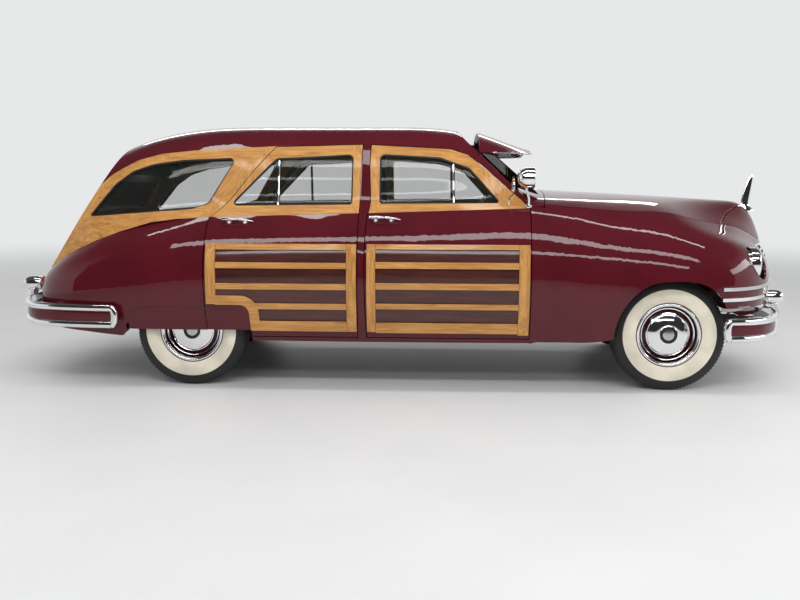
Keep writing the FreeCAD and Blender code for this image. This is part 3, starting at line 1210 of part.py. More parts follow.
def make_wheels():
    """Steel wheels and tyres, turned about their axles."""
    rim = "Sizes.rim_radius"
    half = "Sizes.rim_width / 2"
    wheel_corners = [("Sizes.hub_bore", "14"), ("Sizes.hub_bore", "74"), ("34", "74"), ("60", "52"), ("78", "34"),
                     ("120", "44"), ("150", "34"), (rim + " - 26", "10"), (rim + " - 14", "10"),
                     (rim + " - 14", half + " - 6"), (rim + " + 9", half + " + 2"),
                     (rim + " + 9", half + " - 2"), (rim + " - 8", half + " - 14"),
                     (rim + " - 8", "-" + half + " + 14"), (rim + " + 9", "-" + half + " + 2"),
                     (rim + " + 9", "-" + half + " - 2"), (rim + " - 14", "-" + half + " + 6"),
                     (rim + " - 14", "0"), (rim + " - 30", "0"), ("150", "24"), ("120", "34"), ("78", "24"),
                     ("60", "14")]
    gap = "Sizes.seat_gap"
    tread = "Sizes.tyre_radius"
    wide = "Sizes.tyre_width / 2"
    bead = f"{half} - 14 - {gap}"
    tyre_side = [(f"{rim} - 8 + {gap}", bead), (f"{rim} + 24", f"{wide} - 18"), (f"{rim} + 80", wide),
                 (f"{tread} - 14", f"{wide} - 20"), (tread, f"{wide} - 56")]
    tyre_corners = tyre_side + [(radius, "-" + along.replace(" - ", " + ")) for radius, along in reversed(tyre_side)]
    for end, x, track in (("front", "Sizes.front_axle_x", "Sizes.track_front"),
                          ("rear", "Sizes.front_axle_x - Sizes.wheelbase", "Sizes.track_rear")):
        for name, side in SIDES:
            for piece, corners in (("wheel", wheel_corners), ("tyre", tyre_corners)):
                body = revolved_body(f"{piece}_{end}_{name}_body", corners)
                if side < 0:
                    body.Placement = Placement(Vector(), Rotation(Z_AXIS, 180))
                bind(body, {".Placement.Base.x": x, ".Placement.Base.z": "Sizes.tyre_radius",
                            ".Placement.Base.y": f"{side} * {track} / 2"})
                keep(f"{piece}_{end}_{name}", body)


def check_document():
    """Stop unless every object and piece is sound."""
    doc.recompute()
    for obj in doc.Objects:
        bad = [state for state in obj.State if state in ("Invalid", "Error")]
        if bad:
            raise RuntimeError(f"{obj.Label} is {bad}")
    for node, obj in NODES.items():
        if obj.Shape.isNull() or not obj.Shape.isValid():
            raise RuntimeError(f"{node} has no valid shape")


def write_parts():
    """Write each piece to its own file."""
    os.makedirs("parts", exist_ok=True)
    for node, obj in NODES.items():
        obj.Shape.exportStep(os.path.join("parts", node + ".step"))
        print(node, len(obj.Shape.Solids), "solids", round(obj.Shape.Volume / 1e6, 2), "litres")


def main():
    """Build every piece, check it and write it."""
    make_body(*make_sides())
    make_front()
    make_ornament()
    make_trim()
    make_cabin()
    make_frame()
    make_axles()
    make_wheels()
    check_document()
    write_parts()


main()
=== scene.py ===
"""Finishes for a wood-sided station wagon, laid out as an add-on and run as a script."""

import math

import bmesh
import bpy
from bpy.props import FloatProperty, FloatVectorProperty, IntProperty, PointerProperty
from mathutils import Matrix, Vector
from mathutils.bvhtree import BVHTree
from mathutils.kdtree import KDTree


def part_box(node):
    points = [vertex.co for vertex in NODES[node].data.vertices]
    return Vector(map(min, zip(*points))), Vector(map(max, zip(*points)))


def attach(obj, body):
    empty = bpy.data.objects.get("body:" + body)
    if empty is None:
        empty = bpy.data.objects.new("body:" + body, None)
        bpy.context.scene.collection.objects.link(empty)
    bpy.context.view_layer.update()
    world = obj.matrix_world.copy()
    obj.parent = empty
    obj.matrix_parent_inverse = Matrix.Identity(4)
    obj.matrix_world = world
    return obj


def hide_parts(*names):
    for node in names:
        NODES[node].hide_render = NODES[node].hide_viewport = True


bl_info = {
    "name": "Wood Wagon Finishes",
    "version": (1, 0, 0),
    "blender": (4, 5, 0),
    "location": "View3D > Sidebar > Wagon",
    "description": "Paint, wood, glass, bright trim, wheels and cabin of a wood-sided station wagon",
    "category": "Object",
}

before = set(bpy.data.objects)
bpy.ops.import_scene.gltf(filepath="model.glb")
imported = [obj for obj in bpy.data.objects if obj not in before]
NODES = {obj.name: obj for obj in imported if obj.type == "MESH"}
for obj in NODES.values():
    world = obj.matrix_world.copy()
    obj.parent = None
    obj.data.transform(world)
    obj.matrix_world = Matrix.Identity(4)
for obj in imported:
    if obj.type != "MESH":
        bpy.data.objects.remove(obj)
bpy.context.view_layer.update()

SIDES = (("right", -1), ("left", 1))
FRONT_AXLE = 1.7395
REAR_AXLE = -1.3085
HUB_HEIGHT = 0.357
FRONT_HUB = 0.758
REAR_HUB = 0.771
AXLES = (("front", FRONT_AXLE, FRONT_HUB), ("rear", REAR_AXLE, REAR_HUB))


# Shaders

def add_node(tree, kind, values=(), sources=(), **settings):
    """Node with its settings, the values of its sockets and what feeds them."""
    node = tree.nodes.new(kind)
    for name, value in settings.items():
        setattr(node, name, value)
    for socket, value in dict(values).items():
        node.inputs[socket].default_value = value
    for socket, source in dict(sources).items():
        tree.links.new(source, node.inputs[socket])
    return node


def new_material(name, values):
    """Material with the constant values of its shader."""
    material = bpy.data.materials.new(name)
    material.use_nodes = True
    tree = material.node_tree
    shader = tree.nodes["Principled BSDF"]
    for socket, value in values.items():
        shader.inputs[socket].default_value = value
    return material, tree, shader


def object_coordinates(tree):
    return add_node(tree, "ShaderNodeTexCoord").outputs["Object"]


def noise(tree, vector, scale, detail=4.0, roughness=0.5, distortion=0.0):
    values = {"Scale": scale, "Detail": detail, "Roughness": roughness, "Distortion": distortion}
    return add_node(tree, "ShaderNodeTexNoise", values, {"Vector": vector}).outputs["Fac"]


def ramp(tree, value, stops):
    """Colour ramp over a value, with (position, colour) stops."""
    node = add_node(tree, "ShaderNodeValToRGB", (), {"Fac": value})
    elements = node.color_ramp.elements
    while len(elements) < len(stops):
        elements.new(0.5)
    for element, (position, colour) in zip(elements, stops):
        element.position = position
        element.color = tuple(colour[:3]) + (1,)
    return node.outputs["Color"]


def spread_value(tree, value, low, high):
    """The value, from nought to one, spread between two limits."""
    node = add_node(tree, "ShaderNodeMapRange", {"To Min": low, "To Max": high}, {"Value": value})
    return node.outputs["Result"]


def folded(tree, vector, axis, rate):
    """Value that rises and falls along one axis, at so many folds a metre."""
    split = add_node(tree, "ShaderNodeSeparateXYZ", (), {"Vector": vector})
    times = add_node(tree, "ShaderNodeMath", {1: rate}, {0: split.outputs[axis]}, operation="MULTIPLY")
    fold = add_node(tree, "ShaderNodeMath", {1: 1.0}, {0: times.outputs["Value"]}, operation="PINGPONG")
    return fold.outputs["Value"]


def bump(tree, shader, height, strength, distance):
    node = add_node(tree, "ShaderNodeBump", {"Strength": strength, "Distance": distance}, {"Height": height})
    tree.links.new(node.outputs["Normal"], shader.inputs["Normal"])


def shade(colour, factor):
    return tuple(min(channel * factor, 1.0) for channel in colour[:3])


def clouded(tree, shader, cloud, colour, dark, light=1.0, stops=(0.3, 0.7)):
    """Base colour that drifts between two shades of one colour."""
    shades = ramp(tree, cloud, [(stops[0], shade(colour, dark)), (stops[1], shade(colour, light))])
    tree.links.new(shades, shader.inputs["Base Color"])


def multiplied(tree, first, second, amount):
    """First colour darkened by the second."""
    node = add_node(tree, "ShaderNodeMixRGB", {"Fac": amount}, {"Color1": first, "Color2": second},
                    blend_type="MULTIPLY")
    return node.outputs["Color"]


def paint_material(name, colour, coat=1.0):
    """Deep gloss enamel with a faint unevenness."""
    material, tree, shader = new_material(name, {
        "Roughness": 0.5, "Specular IOR Level": 0.05, "Coat Weight": coat, "Coat Roughness": 0.025,
        "Coat IOR": 1.42})
    clouded(tree, shader, noise(tree, object_coordinates(tree), 2.2, 3.0), colour, 0.86, 1.14)
    return material


def board_coordinates(tree, turn, lengthwise, across):
    """Object coordinates turned onto a board, then drawn out along it."""
    values = {"Rotation": turn, "Scale": (1 / lengthwise, 1 / across, 1 / across)}
    sources = {"Vector": object_coordinates(tree)}
    return add_node(tree, "ShaderNodeMapping", values, sources, vector_type="TEXTURE").outputs["Vector"]


BOARD_TURNS = {"X": (0, 0, 0), "Y": (0, 0, math.pi / 2), "Z": (0, -math.pi / 2, 0)}


def wood_material(name, light, dark, turn, coat=0.4):
    """Varnished board with its grain along one axis or at an angle in the side view."""
    material, tree, shader = new_material(name, {
        "Coat Weight": coat, "Coat Roughness": 0.08, "Specular IOR Level": 0.2})
    turn = BOARD_TURNS[turn] if turn in BOARD_TURNS else (0, -math.radians(turn), 0)
    figure = noise(tree, board_coordinates(tree, turn, 1.1, 15), 2.2, 5.0, 0.6, 1.3)
    pores = noise(tree, board_coordinates(tree, turn, 3, 130), 3.0, 3.0, 0.6)
    cloud = noise(tree, object_coordinates(tree), 1.6, 2.0)
    middle = tuple((a + b) / 2 for a, b in zip(light, dark))
    base = ramp(tree, figure, [(0.3, dark), (0.47, middle), (0.62, light), (0.8, shade(light, 1.08))])
    lines = ramp(tree, pores, [(0.32, (0.74, 0.70, 0.66)), (0.55, (1, 1, 1))])
    tones = ramp(tree, cloud, [(0.3, (0.82, 0.78, 0.72)), (0.7, (1, 1, 1))])
    toned = multiplied(tree, multiplied(tree, base, lines, 0.75), tones, 0.6)
    tree.links.new(toned, shader.inputs["Base Color"])
    tree.links.new(spread_value(tree, pores, 0.5, 0.34), shader.inputs["Roughness"])
    bump(tree, shader, pores, 0.12, 0.0005)
    return material


def chrome_material(name, colour=(0.88, 0.88, 0.89), rough=0.05):
    """Bright metal with a faint haze."""
    material, tree, shader = new_material(name, {"Metallic": 1.0})
    haze = noise(tree, object_coordinates(tree), 14.0, 4.0)
    tree.links.new(spread_value(tree, haze, rough, rough + 0.06), shader.inputs["Roughness"])
    clouded(tree, shader, haze, colour, 0.94, stops=(0.2, 0.8))
    return material


def glass_material(name, tint, clear=0.12):
    """Pane that reflects more the flatter it is seen, and lets light through."""
    material, tree, shader = new_material(name, {"Roughness": 0.015, "Specular IOR Level": 1.0})
    clouded(tree, shader, noise(tree, object_coordinates(tree), 6.0, 3.0), tint, 0.9)
    fresnel = add_node(tree, "ShaderNodeFresnel", {"IOR": 1.5})
    tree.links.new(spread_value(tree, fresnel.outputs["Fac"], clear, 1.0), shader.inputs["Alpha"])
    return material


def mottled_material(name, colour, rough, grain, strength=0.2, depth=0.001, coat=0.0):
    """Plain material with a fine grain: rubber, cast iron, frame paint, mats and plastic."""
    material, tree, shader = new_material(name, {"Coat Weight": coat})
    vector = object_coordinates(tree)
    fine = noise(tree, vector, grain, 4.0, 0.6)
    clouded(tree, shader, noise(tree, vector, 5.0, 3.0), colour, 0.8, 1.2)
    tree.links.new(spread_value(tree, fine, rough - 0.08, rough + 0.08), shader.inputs["Roughness"])
    bump(tree, shader, fine, strength, depth)
    return material


def leather_material(name, colour):
    """Hide with small cells and slow changes of tone."""
    material, tree, shader = new_material(name, {"Roughness": 0.48})
    vector = object_coordinates(tree)
    cells = add_node(tree, "ShaderNodeTexVoronoi", {"Scale": 260.0}, {"Vector": vector},
                     feature="DISTANCE_TO_EDGE")
    clouded(tree, shader, noise(tree, vector, 4.0, 4.0), colour, 0.75, 1.25, (0.3, 0.75))
    bump(tree, shader, cells.outputs["Distance"], 0.35, 0.0006)
    return material


def stripe_material(name, colour, second, pitch, axis):
    """Woven cloth with narrow stripes across one axis."""
    material, tree, shader = new_material(name, {"Roughness": 0.8})
    fold = folded(tree, object_coordinates(tree), axis, 1.0 / pitch)
    tree.links.new(ramp(tree, fold, [(0.42, colour), (0.58, second)]), shader.inputs["Base Color"])
    bump(tree, shader, fold, 0.25, 0.001)
    return material


def lens_material(name, colour, alpha, ribs):
    """Moulded lens with upright ribs, so many a metre."""
    material, tree, shader = new_material(name, {"Roughness": 0.08, "Coat Weight": 1.0, "Alpha": alpha})
    vector = object_coordinates(tree)
    clouded(tree, shader, noise(tree, vector, 30.0, 2.0), colour, 0.85)
    bump(tree, shader, folded(tree, vector, "Y", ribs), 0.6, 0.002)
    return material


MATERIALS = {}
MAHOGANY = (0.085, 0.017, 0.012)
DARK_MAHOGANY = (0.035, 0.006, 0.005)


def make_materials(colours):
    """All finishes, by name."""
    ash_light, ash_dark = tuple(colours.ash_light), tuple(colours.ash_dark)
    MATERIALS.update({
        "maroon": paint_material("Maroon_enamel", tuple(colours.body)),
        # Wheel enamel: the body maroon darkened to 0.55 as painted shade
        "wheel_maroon_painted_shade": paint_material("Wheel_enamel_painted_shade", shade(colours.body, 0.55)),
        "under_paint": mottled_material("Inner_panel_paint", (0.03, 0.008, 0.01), 0.6, 60.0),
        "ash_x": wood_material("Ash_along_the_car", ash_light, ash_dark, "X"),
        "ash_z": wood_material("Ash_upright", ash_light, ash_dark, "Z"),
        "ash_y": wood_material("Ash_across_the_car", ash_light, ash_dark, "Y"),
        "ash_tail": wood_material("Ash_tail_posts", ash_light, ash_dark, 54),
        "ash_post": wood_material("Ash_quarter_posts", ash_light, ash_dark, 48),
        "joint": mottled_material("Board_joints", (0.06, 0.022, 0.008), 0.7, 200.0),
        "mahogany": wood_material("Mahogany_panels", MAHOGANY, DARK_MAHOGANY, "X", 0.9),
        "mahogany_y": wood_material("Mahogany_gate", MAHOGANY, DARK_MAHOGANY, "Y", 0.9),
        "glass": glass_material("Window_glass", (0.05, 0.06, 0.055)),
        "chrome": chrome_material("Bright_chrome"),
        "dull_chrome": chrome_material("Dull_chrome", (0.55, 0.55, 0.56), 0.16),
        "reflector": chrome_material("Lamp_bowl", (0.8, 0.8, 0.8), 0.12),
        "rubber": mottled_material("Window_rubber", (0.012, 0.012, 0.012), 0.5, 300.0),
        "tyre": mottled_material("Tyre_rubber", (0.014, 0.014, 0.015), 0.62, 240.0, 0.3),
        "whitewall": mottled_material("Pale_side_wall", (0.76, 0.70, 0.57), 0.5, 160.0, 0.08),
        "black": mottled_material("Black_enamel", (0.01, 0.01, 0.011), 0.3, 90.0, 0.05),
        "frame_black": mottled_material("Frame_paint", (0.016, 0.016, 0.017), 0.55, 70.0),
        "iron": mottled_material("Engine_paint", (0.05, 0.07, 0.06), 0.6, 50.0, 0.4, 0.002),
        "mat": mottled_material("Floor_mat", (0.02, 0.016, 0.014), 0.85, 120.0, 0.5, 0.002),
        "ivory": mottled_material("Ivory_plastic", (0.5, 0.42, 0.3), 0.3, 60.0, 0.05, 0.0005, 0.5),
        "card": mottled_material("Dark_card", (0.02, 0.02, 0.022), 0.9, 4.0),
        "leather": leather_material("Brown_hide", (0.10, 0.028, 0.016)),
        "door_card": leather_material("Door_board", (0.09, 0.03, 0.02)),
        "headliner": stripe_material("Headlining", (0.09, 0.05, 0.03), (0.14, 0.085, 0.05), 0.03, "X"),
        "dash": paint_material("Dash_enamel", (0.07, 0.022, 0.014), 0.6),
        "lamp_glass": lens_material("Lamp_glass", (0.75, 0.77, 0.78), 0.5, 160.0),
        "red_lens": lens_material("Red_lens", (0.32, 0.008, 0.01), 1.0, 220.0),
        "pale_lens": lens_material("Parking_lens", (0.62, 0.55, 0.45), 1.0, 260.0),
    })


# Geometry helpers

def place_piece(obj, body, replaced=()):
    """Put a finished piece on its body and hide the parts it stands in for."""
    bpy.context.scene.collection.objects.link(obj)
    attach(obj, body)
    if replaced:
        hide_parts(*replaced)


def finish_mesh(name, bm, materials, angle=35.0, outward=True):
    """Object from a bmesh, smooth except over its sharp edges."""
    if outward:
        bmesh.ops.recalc_face_normals(bm, faces=bm.faces)
    limit = math.radians(angle)
    for edge in bm.edges:
        edge.smooth = len(edge.link_faces) == 2 and edge.calc_face_angle(0.0) < limit
    for face in bm.faces:
        face.smooth = True
    mesh = bpy.data.meshes.new(name)
    bm.to_mesh(mesh)
    bm.free()
    for key in materials:
        mesh.materials.append(MATERIALS[key])
    return bpy.data.objects.new(name, mesh)


def add_piece(name, bm, materials, angle, body, replaced=()):
    """Finish a mesh, join the doubles of its seams and put it on its body."""
    bmesh.ops.remove_doubles(bm, verts=bm.verts, dist=1e-6)
    place_piece(finish_mesh(name, bm, materials, angle), body, replaced)


def dress(nodes, finish):
    """Give nodes of the part one finish."""
    for name in nodes:
        materials = NODES[name].data.materials
        materials.clear()
        materials.append(MATERIALS[finish])


def panel_copy(node, name, materials, rule, body, angle=32.0):
    """Smooth copy of a node, its faces given finishes by place and facing."""
    bm = bmesh.new()
    bm.from_mesh(NODES[node].data)
    bmesh.ops.remove_doubles(bm, verts=bm.verts, dist=0.00002)
    bmesh.ops.dissolve_degenerate(bm, edges=bm.edges, dist=0.00001)
    bm.normal_update()
    for face in bm.faces:
        face.material_index = rule(face.calc_center_median(), face.normal)
    divide_long_edges(bm)
    normals = evened_normals(bm, math.cos(math.radians(angle)))
    obj = finish_mesh(name, bm, materials, angle, outward=False)
    obj.data.normals_split_custom_set(normals)
    place_piece(obj, body, (node,))


def divide_long_edges(bm, longest=0.09):
    """Cut long edges, so that shading is even along a panel."""
    for _ in range(5):
        edges = [edge for edge in bm.edges if edge.calc_length() > longest]
        if not edges:
            break
        bmesh.ops.subdivide_edges(bm, edges=edges, cuts=1)
        bmesh.ops.triangulate(bm, faces=[face for face in bm.faces if len(face.verts) > 3])


NEARLY_FLAT = 0.94


def evened_normals(bm, alike, count=80, reach=0.19, passes=3):
    """Corner normals averaged over the faces near by that look nearly the same way."""
    tree = KDTree(len(bm.faces))
    centres, flat, areas = [], [], []
    bm.faces.index_update()
    for face in bm.faces:
        centre = face.calc_center_median()
        centres.append(centre)
        flat.append(face.normal.copy())
        areas.append(face.calc_area())
        tree.insert(centre, face.index)
    tree.balance()
    near_by = [tree.find_n(centre, count) for centre in centres]
    evened = flat
    for _ in range(passes):
        before = evened
        evened = []
        for index, own in enumerate(before):
            total = own * areas[index]
            for _, near, distance in near_by[index]:
                if distance < reach and flat[near].dot(flat[index]) > NEARLY_FLAT:
                    total += before[near] * (areas[near] * (1 - distance / reach))
            evened.append(total.normalized() if total.length > 1e-12 else own)
    corners = []
    for face in bm.faces:
        for loop in face.loops:
            total = evened[face.index].copy()
            for other in loop.vert.link_faces:
                if other is not face and flat[other.index].dot(flat[face.index]) > alike:
                    total += evened[other.index]
            corners.append(total.normalized())
    return corners


def lathe(bm, profile, origin, axis, segments, ids=None):
    """Turned form: profile of (radius, along) round an axis through the origin."""
    axis = Vector(axis).normalized()
    side = axis.orthogonal().normalized()
    up = axis.cross(side)
    rings = []
    for radius, along in profile:
        centre = Vector(origin) + axis * along
        if radius < 1e-6:
            rings.append([bm.verts.new(centre)])
            continue
        ring = []
        for index in range(segments):
            angle = 2 * math.pi * index / segments
            ring.append(bm.verts.new(centre + (side * math.cos(angle) + up * math.sin(angle)) * radius))
        rings.append(ring)
    for index, (low, high) in enumerate(zip(rings, rings[1:])):
        for step in range(segments):
            after = (step + 1) % segments
            corners = [low[step % len(low)], low[after % len(low)], high[after % len(high)],
                       high[step % len(high)]]
            unique = list(dict.fromkeys(corners))
            if len(unique) > 2:
                face = bm.faces.new(unique)
                face.material_index = ids[index] if ids else 0
    return rings


def smooth_line(points, steps=8, closed=False):
    """Even curve through the points."""
    points = [Vector(point) for point in points]
    count = len(points)
    line = []
    last = count if closed else count - 1
    for index in range(last):
        p1, p2 = points[index], points[(index + 1) % count]
        p0 = points[index - 1] if closed or index else p1 * 2 - p2
        p3 = points[(index + 2) % count] if closed or index + 2 < count else p2 * 2 - p1
        for step in range(steps):
            t = step / steps
            line.append(0.5 * ((2 * p1) + (p2 - p0) * t + (2 * p0 - 5 * p1 + 4 * p2 - p3) * t * t
                               + (3 * p1 - p0 - 3 * p2 + p3) * t ** 3))
    if not closed:
        line.append(points[-1])
    return line


def rounded_outline(points, radii, steps=6):
    """Closed outline of flat points with its corners rounded."""
    result = []
    count = len(points)
    for index in range(count):
        corner = Vector(points[index])
        before = (Vector(points[index - 1]) - corner)
        after = (Vector(points[(index + 1) % count]) - corner)
        radius = radii[index]
        reach = min(radius / math.tan(before.angle(after) / 2) if radius else 0,
                    before.length * 0.48, after.length * 0.48)
        start, end = corner + before.normalized() * reach, corner + after.normalized() * reach
        for step in range(steps + 1):
            t = step / steps
            result.append(start * (1 - t) ** 2 + corner * 2 * t * (1 - t) + end * t * t)
    return result


def sweep(bm, places, section, closed=False, material=0, scales=None):
    """Section of (across, out) points swept along (point, outward) places."""
    rings = []
    count = len(places)
    for index, (point, outward) in enumerate(places):
        before = places[index - 1][0] if closed or index else point
        after = places[(index + 1) % count][0] if closed or index + 1 < count else point
        along = (after - before).normalized()
        outward = (outward - along * outward.dot(along)).normalized()
        across = along.cross(outward)
        grow = scales[index] if scales else 1.0
        rings.append([bm.verts.new(point + across * a * grow + outward * b * grow) for a, b in section])
    last = count if closed else count - 1
    size = len(section)
    for index in range(last):
        first, second = rings[index], rings[(index + 1) % count]
        for step in range(size):
            after = (step + 1) % size
            face = bm.faces.new((first[step], first[after], second[after], second[step]))
            face.material_index = material
    if not closed:
        bm.faces.new(list(reversed(rings[0]))).material_index = material
        bm.faces.new(rings[-1]).material_index = material
    return rings


def flat_bar(width, height, sink=0.002, edge=0.0015):
    """Rectangular section with eased outer corners."""
    half = width / 2
    return [(-half, -sink), (-half, height - edge), (-half + edge, height), (half - edge, height),
            (half, height - edge), (half, -sink)]


def round_section(radius, steps=12):
    return [(math.cos(2 * math.pi * i / steps) * radius, math.sin(2 * math.pi * i / steps) * radius)
            for i in range(steps)]


def block(bm, low, high, ease=0.004, material=0):
    """Box with eased edges."""
    made = bmesh.ops.create_cube(bm, size=1.0)
    for vert in made["verts"]:
        vert.co = Vector(((low[i] + high[i]) / 2 + vert.co[i] * (high[i] - low[i]) for i in range(3)))
    faces = {face for vert in made["verts"] for face in vert.link_faces}
    for face in faces:
        face.material_index = material
    if ease:
        edges = {edge for face in faces for edge in face.edges}
        bmesh.ops.bevel(bm, geom=list(edges), offset=ease, segments=3, affect="EDGES", profile=0.5)


class Skin:
    """Outer face of the body, found by looking straight in from outside."""

    def __init__(self):
        self.shell = self.tree([name for name in NODES if self.is_panel(name)])
        self.panes = self.tree([name for name in NODES if name.endswith("_glass")])
        self.pane_depth = 0.016

    @staticmethod
    def is_panel(name):
        fixed = ("roof", "body_frame", "cowl", "rear_quarters", "quarter_wood", "hood", "front_fenders",
                 "rear_skirts", "tailgate", "liftgate")
        door_part = name.startswith("door_") and not name.endswith("_glass")
        return name in fixed or door_part

    @staticmethod
    def tree(names):
        vertices, polygons = [], []
        for name in names:
            base = len(vertices)
            mesh = NODES[name].data
            vertices += [vertex.co.copy() for vertex in mesh.vertices]
            polygons += [[base + index for index in polygon.vertices] for polygon in mesh.polygons]
        return BVHTree.FromPolygons(vertices, polygons)

    def look(self, start, heading):
        """Nearest outer place met from the start, and the way it faces."""
        start, heading = Vector(start), Vector(heading).normalized()
        place, normal, _, far = self.shell.ray_cast(start, heading)
        pane, pane_normal, _, pane_far = self.panes.ray_cast(start, heading)
        if pane is not None and (place is None or pane_far < far):
            normal = pane_normal
            place = pane - heading * (self.pane_depth / max(abs(normal.dot(heading)), 0.3))
        if place is None:
            raise RuntimeError(f"no body at {start}")
        if normal.dot(heading) > 0:
            normal = -normal
        return place, normal

    def side(self, x, z, side):
        return self.look((x, side * 1.6, z), (0, -side, 0))

    def front(self, y, z):
        return self.look((3.2, y, z), (-1, 0, 0))

    def rear(self, y, z):
        return self.look((-3.2, y, z), (1, 0, 0))


class SteelSkin(Skin):
    """Steel doors only, without the strips that stand on them."""

    def __init__(self):
        self.shell = self.tree([name for name in NODES if name.startswith("door_")
                                and name.count("_") == 2])
        self.panes = self.shell
        self.pane_depth = 0.0


SKIN = Skin()
SKIN_STEEL = SteelSkin()


def even_places(places):
    """Outward directions evened along a line, so that a swept strip doesn't twist."""
    count = len(places)
    result = []
    for index, (point, _) in enumerate(places):
        total = Vector()
        for near in range(max(index - 2, 0), min(index + 3, count)):
            total += places[near][1]
        result.append((point, total.normalized()))
    return result


# Groups of pieces

class Piece:
    """Common parts of the operators."""

    bl_options = {"REGISTER", "UNDO"}


class WAGON_OT_steel(Piece, bpy.types.Operator):
    """Painted steel panels with their inner faces trimmed"""

    bl_idname = "wagon.steel"
    bl_label = "Steel panels"

    def execute(self, context):
        for end in ("front", "rear"):
            for name, side in SIDES:
                door = f"door_{end}_{name}"
                panel_copy(door, f"door_skin_{end}_{name}", ["maroon", "door_card"],
                           lambda p, n, s=side: int(n.y * s < -0.5), door)
        panels = (("roof", "roof_skin", ["maroon", "headliner"], self.roof_finish),
                  ("rear_quarters", "rear_quarter_skin", ["maroon", "door_card"], self.quarter_finish),
                  ("front_fenders", "front_fender_skin", ["maroon", "under_paint"], self.inner_finish),
                  ("hood", "hood_skin", ["maroon", "under_paint"], self.under_finish),
                  ("body_frame", "body_frame_skin", ["maroon", "door_card", "ash_z"], self.frame_finish),
                  ("cowl", "cowl_skin", ["maroon", "under_paint"], self.under_finish),
                  ("rear_skirts", "rear_skirt_skin", ["maroon"], self.outer_finish),
                  ("visor", "visor_skin", ["maroon"], self.outer_finish))
        for node, name, materials, rule in panels:
            panel_copy(node, name, materials, rule, "hood" if node == "hood" else "body")
        return {"FINISHED"}

    @staticmethod
    def roof_finish(place, normal):
        return int(normal.z < -0.35 or (abs(place.y) < 0.6 and place.z < 1.45 and normal.x > 0.5))

    @staticmethod
    def outer_finish(place, normal):
        return 0

    @staticmethod
    def inner_finish(place, normal):
        return int(normal.y * place.y < 0 and abs(normal.y) > 0.5)

    @staticmethod
    def quarter_finish(place, normal):
        return int(normal.y * place.y < 0 and abs(normal.y) > 0.4)

    @staticmethod
    def under_finish(place, normal):
        return int(normal.z < -0.3)

    @staticmethod
    def frame_finish(place, normal):
        if normal.y * place.y < 0 and abs(normal.y) > 0.5:
            return 1
        return 2 if place.x < -0.3 and place.z > 1.09 else 0


DOOR_WAIST = 1.0
FRONT_STILES = (-0.109, 0.781)
REAR_STILES = (-1.114, -0.289)
STEP_HEIGHT = 0.60


class WAGON_OT_wood(Piece, bpy.types.Operator):
    """Ash framing of the doors, quarters and gates"""

    bl_idname = "wagon.wood"
    bl_label = "Wood framing"

    def execute(self, context):
        woods = ["ash_x", "ash_z", "ash_y"]
        for name, _ in SIDES:
            panel_copy(f"door_front_{name}_wood", f"front_door_wood_{name}", woods, self.front_door_grain,
                       f"door_front_{name}")
            panel_copy(f"door_rear_{name}_wood", f"rear_door_wood_{name}", woods, self.rear_door_grain,
                       f"door_rear_{name}")
        panel_copy("quarter_wood", "quarter_framing", woods + ["ash_tail", "ash_post"], self.quarter_grain,
                   "body")
        gate_woods = woods + ["ash_tail"]
        panel_copy("tailgate", "tailgate_framing", gate_woods, self.gate_grain, "tailgate")
        panel_copy("liftgate", "liftgate_framing", gate_woods, self.gate_grain, "liftgate")
        return {"FINISHED"}

    @staticmethod
    def front_door_grain(place, normal):
        if place.z < DOOR_WAIST:
            return 1 if place.x < FRONT_STILES[0] or place.x > FRONT_STILES[1] else 0
        return 1 if place.x < -0.1 or (place.x > 0.55 and place.z > 1.19) else 0

    @staticmethod
    def rear_door_grain(place, normal):
        if place.z < DOOR_WAIST:
            over_step = place.x < REAR_STILES[0] and place.z > STEP_HEIGHT
            return 1 if place.x > REAR_STILES[1] or over_step else 0
        return 1 if place.x > -0.27 or (place.x < -0.8 and place.z > 1.18) else 0

    @staticmethod
    def gate_grain(place, normal):
        return 3 if abs(place.y) > 0.53 else 2

    @staticmethod
    def quarter_grain(place, normal):
        """Posts at both ends of the quarter window, with long boards over and under it."""
        x, z = place.x, place.z
        if x - (z - 1.12) * 0.72 < -2.03 and z > 0.99:
            return 3
        if x - (z - 1.15) * 0.6 > -1.21 and z < 1.45:
            return 4
        return 0


def board(name, places, outward, finish):
    """Thin board through a grid of places, with its faces turned outwards."""
    bm = bmesh.new()
    grid = [[bm.verts.new(place) for place in line] for line in places]
    for first, second in zip(grid, grid[1:]):
        for row in range(len(first) - 1):
            bm.faces.new((first[row], second[row], second[row + 1], first[row + 1]))
    bm.normal_update()
    for face in bm.faces:
        if face.normal.dot(outward) < 0:
            face.normal_flip()
    return finish_mesh(name, bm, [finish], 60, outward=False)


def door_panel(name, side, low_line, x_low, x_high, z_high, columns, rows=18):
    """Thin board that follows the door between the frame strips."""
    places = []
    for column in range(columns + 1):
        x = x_low + (x_high - x_low) * column / columns
        z_low = low_line(x)
        line = []
        for row in range(rows + 1):
            point, normal = SKIN_STEEL.side(x, z_low + (z_high - z_low) * row / rows, side)
            line.append(point + normal * 0.0022)
        places.append(line)
    return board(name, places, Vector((0, side, 0)), "mahogany")


